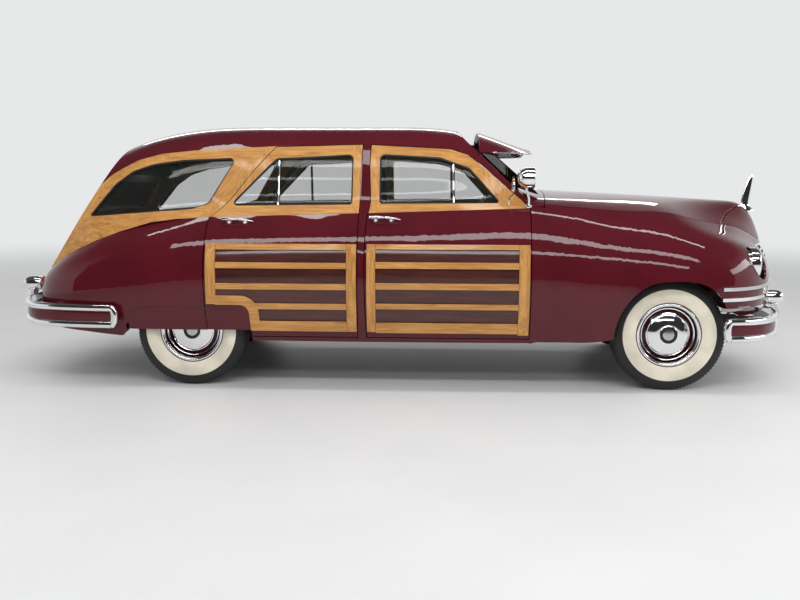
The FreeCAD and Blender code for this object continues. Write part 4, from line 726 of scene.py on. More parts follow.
class WAGON_OT_panels(Piece, bpy.types.Operator):
    """Mahogany boards between the strips of the lower doors and on the tailgate"""

    bl_idname = "wagon.panels"
    bl_label = "Mahogany panels"

    FRONT_BOARD = (-0.136, 0.814, 0.913, 30)
    REAR_BOARD = (-1.145, -0.26, 0.91, 40)
    GATE_HALF, GATE_FOOT, GATE_HEIGHT = 0.50, 0.785, 0.245
    GATE_SLATS = (0.835, 0.884, 0.933, 0.982)

    def execute(self, context):
        for name, side in SIDES:
            front = door_panel(f"front_door_board_{name}", side, self.front_low, *self.FRONT_BOARD)
            rear = door_panel(f"rear_door_board_{name}", side, self.rear_low, *self.REAR_BOARD)
            place_piece(front, f"door_front_{name}")
            place_piece(rear, f"door_rear_{name}")
        self.gate_board()
        return {"FINISHED"}

    def gate_board(self):
        """Mahogany board with four ash slats on the tailgate."""
        proud = Vector((-0.0018, 0, 0.0012))
        across = [self.GATE_HALF * (column / 6 - 1) for column in range(13)]
        levels = [self.GATE_FOOT + self.GATE_HEIGHT * row / 6 for row in range(7)]
        places = [[SKIN.rear(y, z)[0] + proud for z in levels] for y in across]
        obj = board("tailgate_board", places, Vector((-1, 0, 0)), "mahogany_y")
        place_piece(obj, "tailgate")
        bm = bmesh.new()
        for z in self.GATE_SLATS:
            places = [SKIN.rear(y, z) for y in across[::3]]
            sweep(bm, places, flat_bar(0.022, 0.007, 0.002, 0.002))
        add_piece("tailgate_slats", bm, ["ash_y"], 40, "tailgate")

    @staticmethod
    def front_low(x):
        return 0.385

    @staticmethod
    def rear_low(x):
        """Lower edge of the rear board, under the strip that follows the wheel opening."""
        if x < -0.96:
            return 0.575
        if x < -0.872:
            t = (x + 0.96) / 0.088
            return 0.575 - 0.175 * (1 - math.sqrt(max(1 - t * t, 0)))
        return 0.40 if x < -0.86 else 0.39


class WAGON_OT_glass(Piece, bpy.types.Operator):
    """Window glass on the part's own panes"""

    bl_idname = "wagon.glass"
    bl_label = "Window glass"

    def execute(self, context):
        dress([name for name in NODES if name.endswith("_glass")], "glass")
        return {"FINISHED"}


class WAGON_OT_gear(Piece, bpy.types.Operator):
    """Frame, axles, engine, floor and knuckles"""

    bl_idname = "wagon.gear"
    bl_label = "Running gear"

    def execute(self, context):
        dress(("chassis_frame", "front_suspension", "rear_axle"), "frame_black")
        dress(("knuckle_right", "knuckle_left"), "frame_black")
        dress(("floor_pan", "wheel_houses"), "mat")
        dress(("engine",), "iron")
        dress(("dashboard",), "dash")
        return {"FINISHED"}


class WAGON_OT_wheels(Piece, bpy.types.Operator):
    """Tyres with pale side walls, painted wheels, bright rings and hub caps"""

    bl_idname = "wagon.wheels"
    bl_label = "Wheels and tyres"

    def execute(self, context):
        sizes = context.scene.wagon_sizes
        for end, x, hub in AXLES:
            for name, side in SIDES:
                centre = Vector((x, side * hub, HUB_HEIGHT))
                self.tyre(f"{end}_{name}", centre, side, sizes)
                self.wheel(f"{end}_{name}", centre, side, sizes)
        return {"FINISHED"}

    @staticmethod
    def tyre(name, centre, side, sizes):
        wall = sizes.whitewall_radius
        outer = [(0.190, 0.050), (0.196, 0.0665), (0.203, 0.0735), (0.2065, 0.0762), (0.214, 0.0815),
                 (0.228, 0.0885), (0.246, 0.0936), (0.266, 0.0957), (0.282, 0.0955), (wall - 0.002, 0.0946),
                 (wall, 0.0940), (wall + 0.0012, 0.0925), (wall + 0.006, 0.0922), (0.308, 0.0895),
                 (0.322, 0.0848), (0.333, 0.0795), (0.3405, 0.0745), (0.3455, 0.0700), (0.3475, 0.0660),
                 (0.3505, 0.0600), (0.3528, 0.0520)]
        tread = [(0.3545, 0.0440), (0.3486, 0.0430), (0.3486, 0.0395), (0.3552, 0.0385), (0.3560, 0.0250),
                 (0.3500, 0.0242), (0.3500, 0.0207), (0.3562, 0.0200), (0.3567, 0.0065), (0.3508, 0.0057),
                 (0.3508, 0.0022), (0.3569, 0.0014)]
        half = outer + tread
        inner = [(radius, -along) for radius, along in reversed(half)]
        profile = half + inner
        profile.append(profile[0])
        ids = []
        for index in range(len(profile) - 1):
            radius = (profile[index][0] + profile[index + 1][0]) / 2
            along = (profile[index][1] + profile[index + 1][1]) / 2
            ids.append(1 if along > 0.07 and 0.2062 < radius < wall else 0)
        bm = bmesh.new()
        lathe(bm, profile, centre, (0, side, 0), 144, ids)
        add_piece(f"tyre_cover_{name}", bm, ["tyre", "whitewall"], 40, f"wheel_{name}",
                  (f"tyre_{name}",))

    @staticmethod
    def wheel(name, centre, side, sizes):
        rim = [(0.150, 0.022), (0.160, 0.020), (0.172, 0.012), (0.178, 0.030), (0.181, 0.056),
               (0.186, 0.066), (0.193, 0.071), (0.200, 0.0745), (0.2045, 0.0755), (0.2047, 0.0725),
               (0.196, 0.068), (0.189, 0.058), (0.187, 0.040), (0.184, 0.010), (0.184, -0.045),
               (0.188, -0.060), (0.197, -0.072), (0.2045, -0.0745), (0.2045, -0.0765), (0.196, -0.0745),
               (0.184, -0.066), (0.180, -0.050), (0.178, -0.002), (0.168, 0.002), (0.150, 0.012)]
        bm = bmesh.new()
        profile = rim + [rim[0]]
        lathe(bm, profile, centre, (0, side, 0), 96, [0] * (len(profile) - 1))
        disc = [(0.0205, 0.014), (0.0205, 0.024), (0.06, 0.024), (0.10, 0.034), (0.13, 0.034), (0.150, 0.022),
                (0.150, 0.012), (0.13, 0.024), (0.10, 0.024), (0.06, 0.014), (0.0205, 0.014)]
        lathe(bm, disc, centre, (0, side, 0), 96, [0] * (len(disc) - 1))
        # The wheel disc and rim take the body maroon darkened as painted shade
        add_piece(f"wheel_disc_{name}", bm, ["wheel_maroon_painted_shade"], 40, f"wheel_{name}",
                  (f"wheel_{name}",))
        ring = [(0.1795, 0.050), (0.1800, 0.0640), (0.1835, 0.0725), (0.1885, 0.0775), (0.1945, 0.0790),
                (0.1995, 0.0775), (0.2012, 0.0750), (0.1990, 0.0735), (0.1930, 0.0740), (0.1870, 0.0710),
                (0.1815, 0.0600), (0.1805, 0.050)]
        inner_ring = [(0.1585, 0.030), (0.1600, 0.0400), (0.1640, 0.0455), (0.1690, 0.0460), (0.1725, 0.0420),
                      (0.1735, 0.032), (0.1715, 0.030)]
        bm = bmesh.new()
        lathe(bm, ring + [ring[0]], centre, (0, side, 0), 120)
        lathe(bm, inner_ring + [inner_ring[0]], centre, (0, side, 0), 120)
        add_piece(f"bright_rings_{name}", bm, ["chrome"], 50, f"wheel_{name}")
        cap = sizes.cap_radius
        dome = [(cap, 0.034), (cap + 0.001, 0.040), (cap - 0.001, 0.0455), (cap - 0.006, 0.0480),
                (cap - 0.0085, 0.0475), (cap - 0.011, 0.0500)]
        for step in range(1, 13):
            t = step / 12
            dome.append(((cap - 0.011) * (1 - t) + 0.058 * t, 0.050 + 0.020 * math.sin(t * math.pi / 2)))
        cap_ids = [0] * (len(dome) - 1)
        badge = [(0.0575, 0.0718), (0.055, 0.0732), (0.049, 0.0725), (0.0475, 0.0700), (0.0365, 0.0703),
                 (0.0355, 0.0722), (0.034, 0.0735), (0.020, 0.0752), (0.0, 0.0758)]
        badge_ids = [0, 0, 1, 1, 1, 0, 0, 2, 2]
        bm = bmesh.new()
        back = [(0.0, 0.036), (cap - 0.004, 0.034)]
        lathe(bm, back + dome + badge, centre, (0, side, 0), 96, [0, 0] + cap_ids + badge_ids)
        add_piece(f"hub_cap_{name}", bm, ["chrome", "black", "dull_chrome"], 34, f"wheel_{name}")


def ring_tree():
    """Node tree: blocks set evenly round a circle that stands across the car."""
    tree = bpy.data.node_groups.new("Blocks_round_a_circle", "GeometryNodeTree")
    tree.interface.new_socket("Geometry", in_out="OUTPUT", socket_type="NodeSocketGeometry")
    for name, kind in (("Count", "Int"), ("Radius", "Float"), ("Size", "Vector"), ("Centre", "Vector"),
                       ("Finish", "Material")):
        tree.interface.new_socket(name, in_out="INPUT", socket_type="NodeSocket" + kind)
    given = add_node(tree, "NodeGroupInput").outputs
    circle = add_node(tree, "GeometryNodeMeshCircle", (), {
        "Vertices": given["Count"], "Radius": given["Radius"]})
    cube = add_node(tree, "GeometryNodeMeshCube", (), {"Size": given["Size"]})
    place = add_node(tree, "GeometryNodeInputPosition")
    align = add_node(tree, "FunctionNodeAlignRotationToVector", (), {"Vector": place.outputs["Position"]},
                     axis="X")
    spread = add_node(tree, "GeometryNodeInstanceOnPoints", (), {
        "Points": circle.outputs["Mesh"], "Instance": cube.outputs["Mesh"],
        "Rotation": align.outputs["Rotation"]})
    real = add_node(tree, "GeometryNodeRealizeInstances", (), {"Geometry": spread.outputs["Instances"]})
    moved = add_node(tree, "GeometryNodeTransform", {"Rotation": (math.pi / 2, 0, 0)}, {
        "Geometry": real.outputs["Geometry"], "Translation": given["Centre"]})
    finish = add_node(tree, "GeometryNodeSetMaterial", (), {
        "Geometry": moved.outputs["Geometry"], "Material": given["Finish"]})
    add_node(tree, "NodeGroupOutput", (), {"Geometry": finish.outputs["Geometry"]})
    return tree


def grown_mesh(name, tree, values):
    """Plain object from a node tree with its named inputs set."""
    source = bpy.data.objects.new(name + "_source", bpy.data.meshes.new(name + "_source"))
    bpy.context.scene.collection.objects.link(source)
    modifier = source.modifiers.new("Rule", "NODES")
    modifier.node_group = tree
    for item in tree.interface.items_tree:
        if item.item_type == "SOCKET" and item.in_out == "INPUT":
            modifier[item.identifier] = values[item.name]
    graph = bpy.context.evaluated_depsgraph_get()
    mesh = bpy.data.meshes.new_from_object(source.evaluated_get(graph))
    source.modifiers.clear()
    bpy.data.objects.remove(source)
    mesh.name = name
    return bpy.data.objects.new(name, mesh)


class WAGON_OT_tread(Piece, bpy.types.Operator):
    """Small blocks along both shoulders of each tyre"""

    bl_idname = "wagon.tread"
    bl_label = "Tyre tread"

    ROW_OFFSET = 0.0575
    ROW_RADIUS = 0.3490
    BLOCK = (0.0075, 0.0125, 0.0165)

    def execute(self, context):
        sizes = context.scene.wagon_sizes
        tree = ring_tree()
        for end, x, hub in AXLES:
            for name, side in SIDES:
                for row, along in (("outer", self.ROW_OFFSET), ("inner", -self.ROW_OFFSET)):
                    values = {"Count": sizes.tread_blocks, "Radius": self.ROW_RADIUS, "Size": self.BLOCK,
                              "Centre": (x, side * (hub + along), HUB_HEIGHT), "Finish": MATERIALS["tyre"]}
                    obj = grown_mesh(f"tread_{row}_{end}_{name}", tree, values)
                    place_piece(obj, f"wheel_{end}_{name}")
        return {"FINISHED"}


def bumper_line(plan, facing, z, out):
    """Places along a bumper seen from above, on its outer face."""
    points = [Vector((x, -y, 0)) for x, y in plan] + [Vector((x, y, 0)) for x, y in reversed(plan[:-1])]
    line = smooth_line(points, 7)
    places = []
    for index, point in enumerate(line):
        along = (line[min(index + 1, len(line) - 1)] - line[max(index - 1, 0)]).normalized()
        outward = Vector((along.y, -along.x, 0)) * facing
        places.append((point + outward * out + Vector((0, 0, z)), outward))
    return places


FRONT_PLAN = [(2.088, 0.950), (2.200, 0.918), (2.330, 0.850), (2.450, 0.690), (2.515, 0.480),
              (2.545, 0.240), (2.553, 0.0)]
REAR_PLAN = [(-1.785, 0.985), (-1.990, 0.965), (-2.190, 0.925), (-2.350, 0.850), (-2.460, 0.700),
             (-2.520, 0.500), (-2.550, 0.250), (-2.557, 0.0)]


BLADE_RISE = 0.053


class WAGON_OT_bumpers(Piece, bpy.types.Operator):
    """Bumper blades, painted bands and guards"""

    bl_idname = "wagon.bumpers"
    bl_label = "Bumpers"

    def execute(self, context):
        self.bumper("front", FRONT_PLAN, 1, 0.405, 0.415, 2.5985)
        self.bumper("rear", REAR_PLAN, -1, 0.462, 0.450, -2.5985)
        return {"FINISHED"}

    @staticmethod
    def bumper(end, plan, facing, z, guard_y, tip):
        bm = bmesh.new()
        for level in (-BLADE_RISE, BLADE_RISE):
            crowned = [(-0.022, -0.016), (-0.022, -0.004), (-0.019, 0.003), (-0.012, 0.0085), (0.0, 0.0112),
                       (0.012, 0.0085), (0.019, 0.003), (0.022, -0.004), (0.022, -0.016)]
            sweep(bm, bumper_line(plan, facing, z + level, 0.0), crowned)
        line = bumper_line(plan, facing, z, 0.0)
        for end_place, inner_place in ((line[0], line[1]), (line[-1], line[-2])):
            away = (end_place[0] - inner_place[0]).normalized()
            arc = []
            for step in range(13):
                angle = math.pi * step / 12
                rise = Vector((0, 0, BLADE_RISE * math.cos(angle)))
                arc.append((end_place[0] + away * (0.020 * math.sin(angle)) + rise, end_place[1]))
            sweep(bm, arc, crowned)
        band = [(-0.033, -0.012), (-0.033, -0.004), (0.0, -0.001), (0.033, -0.004), (0.033, -0.012)]
        sweep(bm, bumper_line(plan, facing, z, 0.0), band, material=1)
        for side in (-1, 1):
            y = side * guard_y
            bullet = []
            for step in range(17):
                t = step / 16
                swell = math.sqrt(max(1 - (2 * t - 1) ** 4, 0)) * (0.86 + 0.14 * math.sin(t * math.pi))
                bullet.append((0.049 * swell, t * 0.158))
            lathe(bm, bullet, (tip - facing * 0.158, y, z + 0.150), (facing, 0, 0), 40)
            levels = ((-0.080, 0.006), (-0.06, 0.022), (0.0, 0.028), (0.06, 0.026), (0.112, 0.018))
            points = [(tip - facing * (0.060 - depth), y, z + height) for height, depth in levels]
            stem = [(point, Vector((facing, 0, 0))) for point in smooth_line(points, 5)]
            section = [(-0.038, -0.045), (-0.038, -0.014), (-0.030, -0.004), (0.0, 0.004), (0.030, -0.004),
                       (0.038, -0.014), (0.038, -0.045)]
            sweep(bm, stem, section)
            inner = tip - facing * 0.305
            arm_low = (min(inner, tip - facing * 0.07), side * 0.400 - 0.022, z - 0.035)
            arm_high = (max(inner, tip - facing * 0.07), side * 0.400 + 0.022, z + 0.015)
            block(bm, arm_low, arm_high, 0.006, 2)
        add_piece(f"{end}_bumper_bright", bm, ["chrome", "maroon", "frame_black"], 40, "body",
                  (f"{end}_bumper",))


HEADLAMP = (2.243, 0.655, 0.800)
SPOTLIGHT = (0.832, 0.808, 1.339)
SPOTLIGHT_FOOT = (0.846, 1.165)
MIRROR = (0.746, 0.850, 1.290)
MIRROR_FOOT = (0.722, 1.160)
PARKING_LAMP = (0.640, 0.626)


def mirrored(place, side):
    """Place on the left side, brought to the side wanted."""
    return Vector((place[0], side * place[1], place[2]))


class WAGON_OT_lamps(Piece, bpy.types.Operator):
    """Headlamps, parking lamps, tail lamps, spotlights and mirrors"""

    bl_idname = "wagon.lamps"
    bl_label = "Lamps and mirrors"

    def execute(self, context):
        for name, side in SIDES:
            self.headlamp(name, side)
            self.spotlight(name, side)
            self.mirror(name, side)
            self.parking_lamp(name, side)
        dress(("tail_lamps",), "red_lens")
        return {"FINISHED"}

    @staticmethod
    def headlamp(name, side):
        centre = mirrored(HEADLAMP, side)
        rim = [(0.094, 0.020), (0.103, 0.020), (0.1035, 0.060), (0.1015, 0.072), (0.096, 0.079),
               (0.090, 0.0805), (0.087, 0.078), (0.088, 0.060)]
        bm = bmesh.new()
        lathe(bm, rim + [rim[0]], centre, (1, 0, 0), 64)
        replaced = ("headlamps",) if side < 0 else ()
        add_piece(f"headlamp_rim_{name}", bm, ["chrome"], 50, "body", replaced)
        bm = bmesh.new()
        lens = [(0.0875, 0.062)]
        for step in range(9):
            t = step / 8
            lens.append((0.0875 * math.cos(t * math.pi / 2), 0.066 + 0.026 * math.sin(t * math.pi / 2)))
        lathe(bm, lens, centre, (1, 0, 0), 64)
        lathe(bm, [(0.0875, 0.062), (0.0, 0.062)], centre, (1, 0, 0), 64)
        add_piece(f"headlamp_glass_{name}", bm, ["lamp_glass"], 50, "body")
        bm = bmesh.new()
        lathe(bm, [(0.087, 0.061), (0.070, 0.034), (0.045, 0.014), (0.0, 0.004), (0.0, 0.001), (0.09, 0.001),
                   (0.090, 0.060)], centre, (1, 0, 0), 48)
        add_piece(f"headlamp_bowl_{name}", bm, ["reflector"], 50, "body")

    @staticmethod
    def parking_lamp(name, side):
        """Oval lens with a bright rim between the strips below the headlamp."""
        foot, normal = SKIN.front(side * PARKING_LAMP[0], PARKING_LAMP[1])
        bm = bmesh.new()
        lens = [(0.0, 0.012), (0.014, 0.0105), (0.022, 0.006), (0.0225, 0.001)]
        rim = [(0.0225, 0.001), (0.0245, 0.005), (0.028, 0.004), (0.029, -0.002), (0.0, -0.002)]
        lathe(bm, lens, foot, normal, 32, [0] * 3)
        lathe(bm, rim, foot, normal, 32, [1] * 4)
        add_piece(f"parking_lamp_{name}", bm, ["pale_lens", "chrome"], 40, "body")

    @staticmethod
    def spotlight(name, side):
        centre = mirrored(SPOTLIGHT, side)
        shell = [(0.0, -0.064)]
        for step in range(1, 12):
            angle = step / 11 * math.pi / 2
            shell.append((0.0645 * math.sin(angle), -0.064 * math.cos(angle)))
        shell += [(0.0645, 0.030), (0.0655, 0.034), (0.0655, 0.042), (0.062, 0.0455), (0.058, 0.044),
                  (0.058, 0.038)]
        bm = bmesh.new()
        lathe(bm, shell + [(0.0, 0.038)], centre, (1, 0, 0), 48)
        foot, normal = SKIN.side(*SPOTLIGHT_FOOT, side)
        stalk = smooth_line([foot - normal * 0.004, foot + normal * 0.012 + Vector((0, 0, 0.03)),
                             centre + Vector((-0.006, -side * 0.006, -0.062))], 6)
        sweep(bm, [(p, Vector((1, 0, 0))) for p in stalk], round_section(0.0075))
        base = [(0.0, 0.010), (0.017, 0.009), (0.021, 0.003), (0.022, -0.002), (0.0, -0.002)]
        lathe(bm, base, foot, normal, 24)
        replaced = ("spotlights",) if side < 0 else ()
        add_piece(f"spotlight_{name}", bm, ["chrome"], 50, "body", replaced)
        bm = bmesh.new()
        lathe(bm, [(0.0578, 0.0385), (0.056, 0.0415), (0.040, 0.0445), (0.0, 0.0458), (0.0, 0.0385)], centre,
              (1, 0, 0), 48)
        add_piece(f"spotlight_glass_{name}", bm, ["lamp_glass"], 60, "body")

    @staticmethod
    def mirror(name, side):
        centre = mirrored(MIRROR, side)
        shell = [(0.0, 0.0075), (0.030, 0.0065), (0.048, 0.003), (0.0555, -0.002), (0.0555, -0.006),
                 (0.052, -0.0078), (0.051, -0.0062)]
        bm = bmesh.new()
        ids = [0] * 6 + [1]
        lathe(bm, shell + [(0.0, -0.0062)], centre, (1, 0, 0), 48, ids)
        foot, normal = SKIN.side(*MIRROR_FOOT, side)
        stalk = smooth_line([foot - normal * 0.004, foot + normal * 0.03 + Vector((0, 0, 0.03)),
                             centre + Vector((0.0, 0, -0.05))], 6)
        sweep(bm, [(p, Vector((1, 0, 0))) for p in stalk], round_section(0.006))
        add_piece(f"door_mirror_{name}", bm, ["chrome", "reflector"], 50, f"door_front_{name}",
                  (f"mirror_{name}",))


WINDOWS = {
    "front": ([(-0.099, 1.174), (0.677, 1.180), (0.475, 1.403), (0.286, 1.470), (-0.099, 1.490)],
              [0.022, 0.014, 0.060, 0.060, 0.034]),
    "rear": ([(-1.068, 1.158), (-0.271, 1.168), (-0.267, 1.488), (-0.768, 1.462)],
             [0.022, 0.022, 0.034, 0.050]),
    "quarter": ([(-2.020, 1.082), (-1.310, 1.136), (-1.200, 1.170), (-1.036, 1.440), (-1.060, 1.464),
                 (-1.397, 1.450), (-1.584, 1.424), (-1.720, 1.380), (-1.840, 1.296)],
                [0.010, 0.060, 0.040, 0.026, 0.016, 0.3, 0.25, 0.18, 0.16]),
}


def outline_places(points, radii, side, inset=0.0):
    """Places on the body's side along a rounded outline."""
    flat = rounded_outline(points, radii)
    centre = sum(flat, Vector((0, 0))) / len(flat)
    line = []
    for index, point in enumerate(flat):
        after = flat[(index + 1) % len(flat)]
        if (after - point).length < 1e-5:
            continue
        pieces = max(int((after - point).length / 0.05), 1)
        for step in range(pieces):
            line.append(point.lerp(after, step / pieces))
    places = []
    for point in line:
        inward = (centre - point).normalized()
        moved = point + inward * inset
        place, normal = SKIN.side((point + inward * 0.012).x, (point + inward * 0.012).y, side)
        places.append((Vector((moved.x, place.y, moved.y)), normal))
    return even_places(places)


def surface_line(bm, points, side, width, height, material=0, step_length=0.03):
    """Narrow strip laid on the body's side through (x, z) points."""
    places = []
    for first, second in zip(points, points[1:]):
        first, second = Vector(first), Vector(second)
        pieces = max(int((second - first).length / step_length), 1)
        for step in range(pieces):
            point = first.lerp(second, step / pieces)
            places.append(SKIN.side(point.x, point.y, side))
    places.append(SKIN.side(points[-1][0], points[-1][1], side))
    sweep(bm, even_places(places), [(-width / 2, -0.002), (-width / 2, height), (width / 2, height),
                                    (width / 2, -0.002)], material=material)


class WAGON_OT_seams(Piece, bpy.types.Operator):
    """Seam of the rear wheel skirts and the joints of the door framing"""

    bl_idname = "wagon.seams"
    bl_label = "Seams and joints"

    SKIRT = ((-1.681, 0.467), (-1.622, 0.509), (-1.523, 0.523), (-1.270, 0.519), (-1.032, 0.514),
             (-0.968, 0.499), (-0.932, 0.462))
    FRONT_RAILS = ((0.368, 0.436), (0.524, 0.560), (0.650, 0.690), (0.780, 0.820), (0.898, 0.928))
    REAR_RAILS = ((0.374, 0.440), (0.518, 0.556), (0.644, 0.682), (0.776, 0.813), (0.892, 0.928))

    def execute(self, context):
        for name, side in SIDES:
            bm = bmesh.new()
            line = [tuple(point) for point in smooth_line([(x, z, 0) for x, z in self.SKIRT], 5)]
            surface_line(bm, [point[:2] for point in line], side, 0.0045, 0.0006)
            add_piece(f"skirt_seam_{name}", bm, ["rubber"], 40, "body")
            self.joints(f"front_{name}", side, self.FRONT_RAILS, FRONT_STILES)
            self.joints(f"rear_{name}", side, self.REAR_RAILS, REAR_STILES)
        return {"FINISHED"}

    @staticmethod
    def joints(name, side, rails, edges):
        """Butt joints where the rails meet the stiles."""
        bm = bmesh.new()
        for low, high in rails:
            for x in edges:
                if x == REAR_STILES[0] and low < STEP_HEIGHT:
                    continue
                surface_line(bm, [(x, low + 0.002), (x, high - 0.002)], side, 0.0022, 0.0004)
        end, hand = name.split("_")
        add_piece(f"rail_joints_{name}", bm, ["joint"], 40, f"door_{end}_{hand}")


class WAGON_OT_window_trim(Piece, bpy.types.Operator):
    """Rubbers round the windows, and the bars of the vent panes"""

    bl_idname = "wagon.window_trim"
    bl_label = "Window trim"

    def execute(self, context):
        for name, side in SIDES:
            for key, body in (("front", f"door_front_{name}"), ("rear", f"door_rear_{name}"),
                              ("quarter", "body")):
                points, radii = WINDOWS[key]
                bm = bmesh.new()
                places = outline_places(points, radii, side, 0.004)
                lowered = [(p - n * 0.010, n) for p, n in places]
                sweep(bm, lowered, flat_bar(0.012, 0.004, 0.006), closed=True)
                add_piece(f"{key}_window_rubber_{name}", bm, ["rubber"], 40, body)
            self.dividers(name, side)
        return {"FINISHED"}

    @staticmethod
    def dividers(name, side):
        """Upright bars of the vent panes."""
        for end, x_low, x_high, z_low, z_high in (("front", 0.375, 0.372, 1.187, 1.436),
                                                  ("rear", -0.752, -0.748, 1.170, 1.448)):
            bm = bmesh.new()
            for width, height, material in ((0.018, 0.004, 0), (0.008, 0.007, 1)):
                places = []
                for step in range(7):
                    t = step / 6
                    x, z = x_low + (x_high - x_low) * t, z_low + (z_high - z_low) * t
                    point, normal = SKIN.side(x, z, side)
                    places.append((point - normal * 0.014, normal))
                sweep(bm, even_places(places), flat_bar(width, height), material=material)
            add_piece(f"{end}_vent_bar_{name}", bm, ["rubber", "chrome"], 40, f"door_{end}_{name}")


HANDLES = {"front": (-0.155, 0.043, 1.078), "rear": (-1.086, -0.885, 1.062)}


class WAGON_OT_bright_trim(Piece, bpy.types.Operator):
    """Handles, hood fin, grille finish, visor edge, windscreen bar and liftgate handle"""

    bl_idname = "wagon.bright_trim"
    bl_label = "Bright trim"

    def execute(self, context):
        dress(("grille",), "chrome")
        for name, side in SIDES:
            for end, (x_low, x_high, z) in HANDLES.items():
                self.handle(end, name, side, x_low, x_high, z)
        self.fin()
        self.visor_edge()
        self.screen_bar()
        self.gate_handle()
        return {"FINISHED"}

    @staticmethod
    def handle(end, name, side, x_low, x_high, z):
        """Tapered pull handle on two turned feet."""
        bm = bmesh.new()
        places, scales = [], []
        for step in range(17):
            t = step / 16
            point, normal = SKIN.side(x_low + (x_high - x_low) * t, z - 0.010 * t, side)
            places.append((point + normal * (0.020 + 0.010 * math.sin(math.pi * t)), normal))
            if t < 0.52:
                scales.append(0.30 + 0.70 * math.sin(math.pi * min(t * 1.6 + 0.18, 1.0)) ** 0.7)
            else:
                scales.append(0.30 + 0.70 * (1 - (t - 0.52) / 0.48) ** 1.2)
        sweep(bm, even_places(places), round_section(0.0115, 12), scales=scales)
        foot = [(0.0, 0.022), (0.008, 0.020), (0.011, 0.010), (0.017, 0.002), (0.017, -0.002), (0.0, -0.002)]
        for x in (x_low + 0.040, x_high - 0.060):
            point, normal = SKIN.side(x, z - 0.003, side)
            lathe(bm, foot, point, normal, 20)
        add_piece(f"{end}_door_handle_{name}", bm, ["chrome"], 50, f"door_{end}_{name}")

    @staticmethod
    def fin():
        """Swept upright fin on a low foot at the front of the hood."""
        low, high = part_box("hood_ornament")
        bm = bmesh.new()
        height = high.z - low.z
        middle_x = (low.x + high.x) / 2
        rings = []
        for step in range(25):
            t = step / 24
            foot = math.exp(-(t / 0.10) ** 2)
            half_long = 0.030 + 0.040 * foot - 0.020 * t ** 3
            half_wide = 0.013 + 0.012 * foot - 0.009 * t ** 2
            if t > 0.9:
                cap = math.sqrt(max(1 - ((t - 0.9) / 0.1) ** 2, 0.02))
                half_long, half_wide = half_long * cap, half_wide * cap
            middle = min(middle_x - 0.012 + 0.045 * t ** 1.6, high.x - half_long)
            ring = []
            for index in range(24):
                angle = 2 * math.pi * index / 24
                ring.append(bm.verts.new((middle + half_long * math.cos(angle), half_wide * math.sin(angle),
                                          low.z + height * t)))
            rings.append(ring)
        for first, second in zip(rings, rings[1:]):
            for index in range(24):
                after = (index + 1) % 24
                bm.faces.new((first[index], first[after], second[after], second[index]))
        bm.faces.new(rings[-1])
        bm.faces.new(list(reversed(rings[0])))
        add_piece("hood_fin", bm, ["chrome"], 50, "hood", ("hood_ornament",))

    @staticmethod
    def visor_edge():
        """Bright bead along the visor's rim."""
        rim = {}
        for vertex in NODES["visor"].data.vertices:
            place = vertex.co
            if place.z < 1.505 and place.x > 0.60 or place.x > 0.894:
                key = round(math.degrees(math.atan2(place.y, place.x - 0.35)) / 6)
                rim.setdefault(key, []).append(place)
        line = [sum(rim[key], Vector()) / len(rim[key]) for key in sorted(rim)]
        line = smooth_line(line, 4)
        bm = bmesh.new()
        places = [(point, Vector((0.5, 0, -1)).normalized()) for point in line]
        sweep(bm, places, round_section(0.006, 10))
        add_piece("visor_bead", bm, ["chrome"], 50, "body")

    @staticmethod
    def screen_bar():
        """Upright bar between the halves of the windscreen."""
        bm = bmesh.new()
        places = []
        for step in range(9):
            point, normal = SKIN.front(0.0, 1.285 + 0.235 * step / 8)
            places.append((point, normal))
        sweep(bm, even_places(places), flat_bar(0.020, 0.008, 0.004))
        add_piece("windscreen_bar", bm, ["chrome"], 50, "body")

    @staticmethod
    def gate_handle():
        """Handle low on the liftgate."""
        bm = bmesh.new()
        places = []
        for step in range(11):
            y = -0.08 + 0.16 * step / 10
            point, normal = SKIN.rear(y, 1.13)
            places.append((point + normal * (0.008 + 0.010 * math.sin(math.pi * step / 10)), normal))
        sweep(bm, even_places(places), round_section(0.008, 12))
        add_piece("liftgate_handle", bm, ["chrome"], 50, "liftgate")


def cushion_form(lowest, highest, crown):
    """Crowned bench cushion with sewn channels, its sides pulled in between the corners."""
    lowest, highest = Vector(lowest), Vector(highest)
    middle, half = (lowest + highest) / 2, (highest - lowest) / 2
    bm = bmesh.new()
    block(bm, lowest, highest, min(half) * 0.55)
    for _ in range(6):
        long_edges = [edge for edge in bm.edges if edge.calc_length() > 0.022]
        if not long_edges:
            break
        bmesh.ops.subdivide_edges(bm, edges=long_edges, cuts=1, use_grid_fill=True)
    axis = "XYZ".index(crown)
    others = [index for index in range(3) if index != axis]
    for vert in bm.verts:
        place = [(vert.co[index] - middle[index]) / half[index] for index in range(3)]
        edge = max(1 - place[others[0]] ** 2, 0) * max(1 - place[others[1]] ** 2, 0)
        if place[axis] > 0.3:
            channel = abs((vert.co.y - middle.y) / 0.105 % 1.0 - 0.5) * 2
            groove = 0.007 * math.exp(-(channel / 0.10) ** 2) * min(edge * 6, 1)
            vert.co[axis] -= 0.012 * (1 - edge ** 0.5) + groove
        for index in others:
            if abs(place[index]) > 0.8:
                other = others[1] if index == others[0] else others[0]
                pull = 0.007 * max(1 - place[other] ** 4, 0) * max(1 - place[axis] ** 2, 0)
                vert.co[index] -= math.copysign(pull, place[index])
    return bm


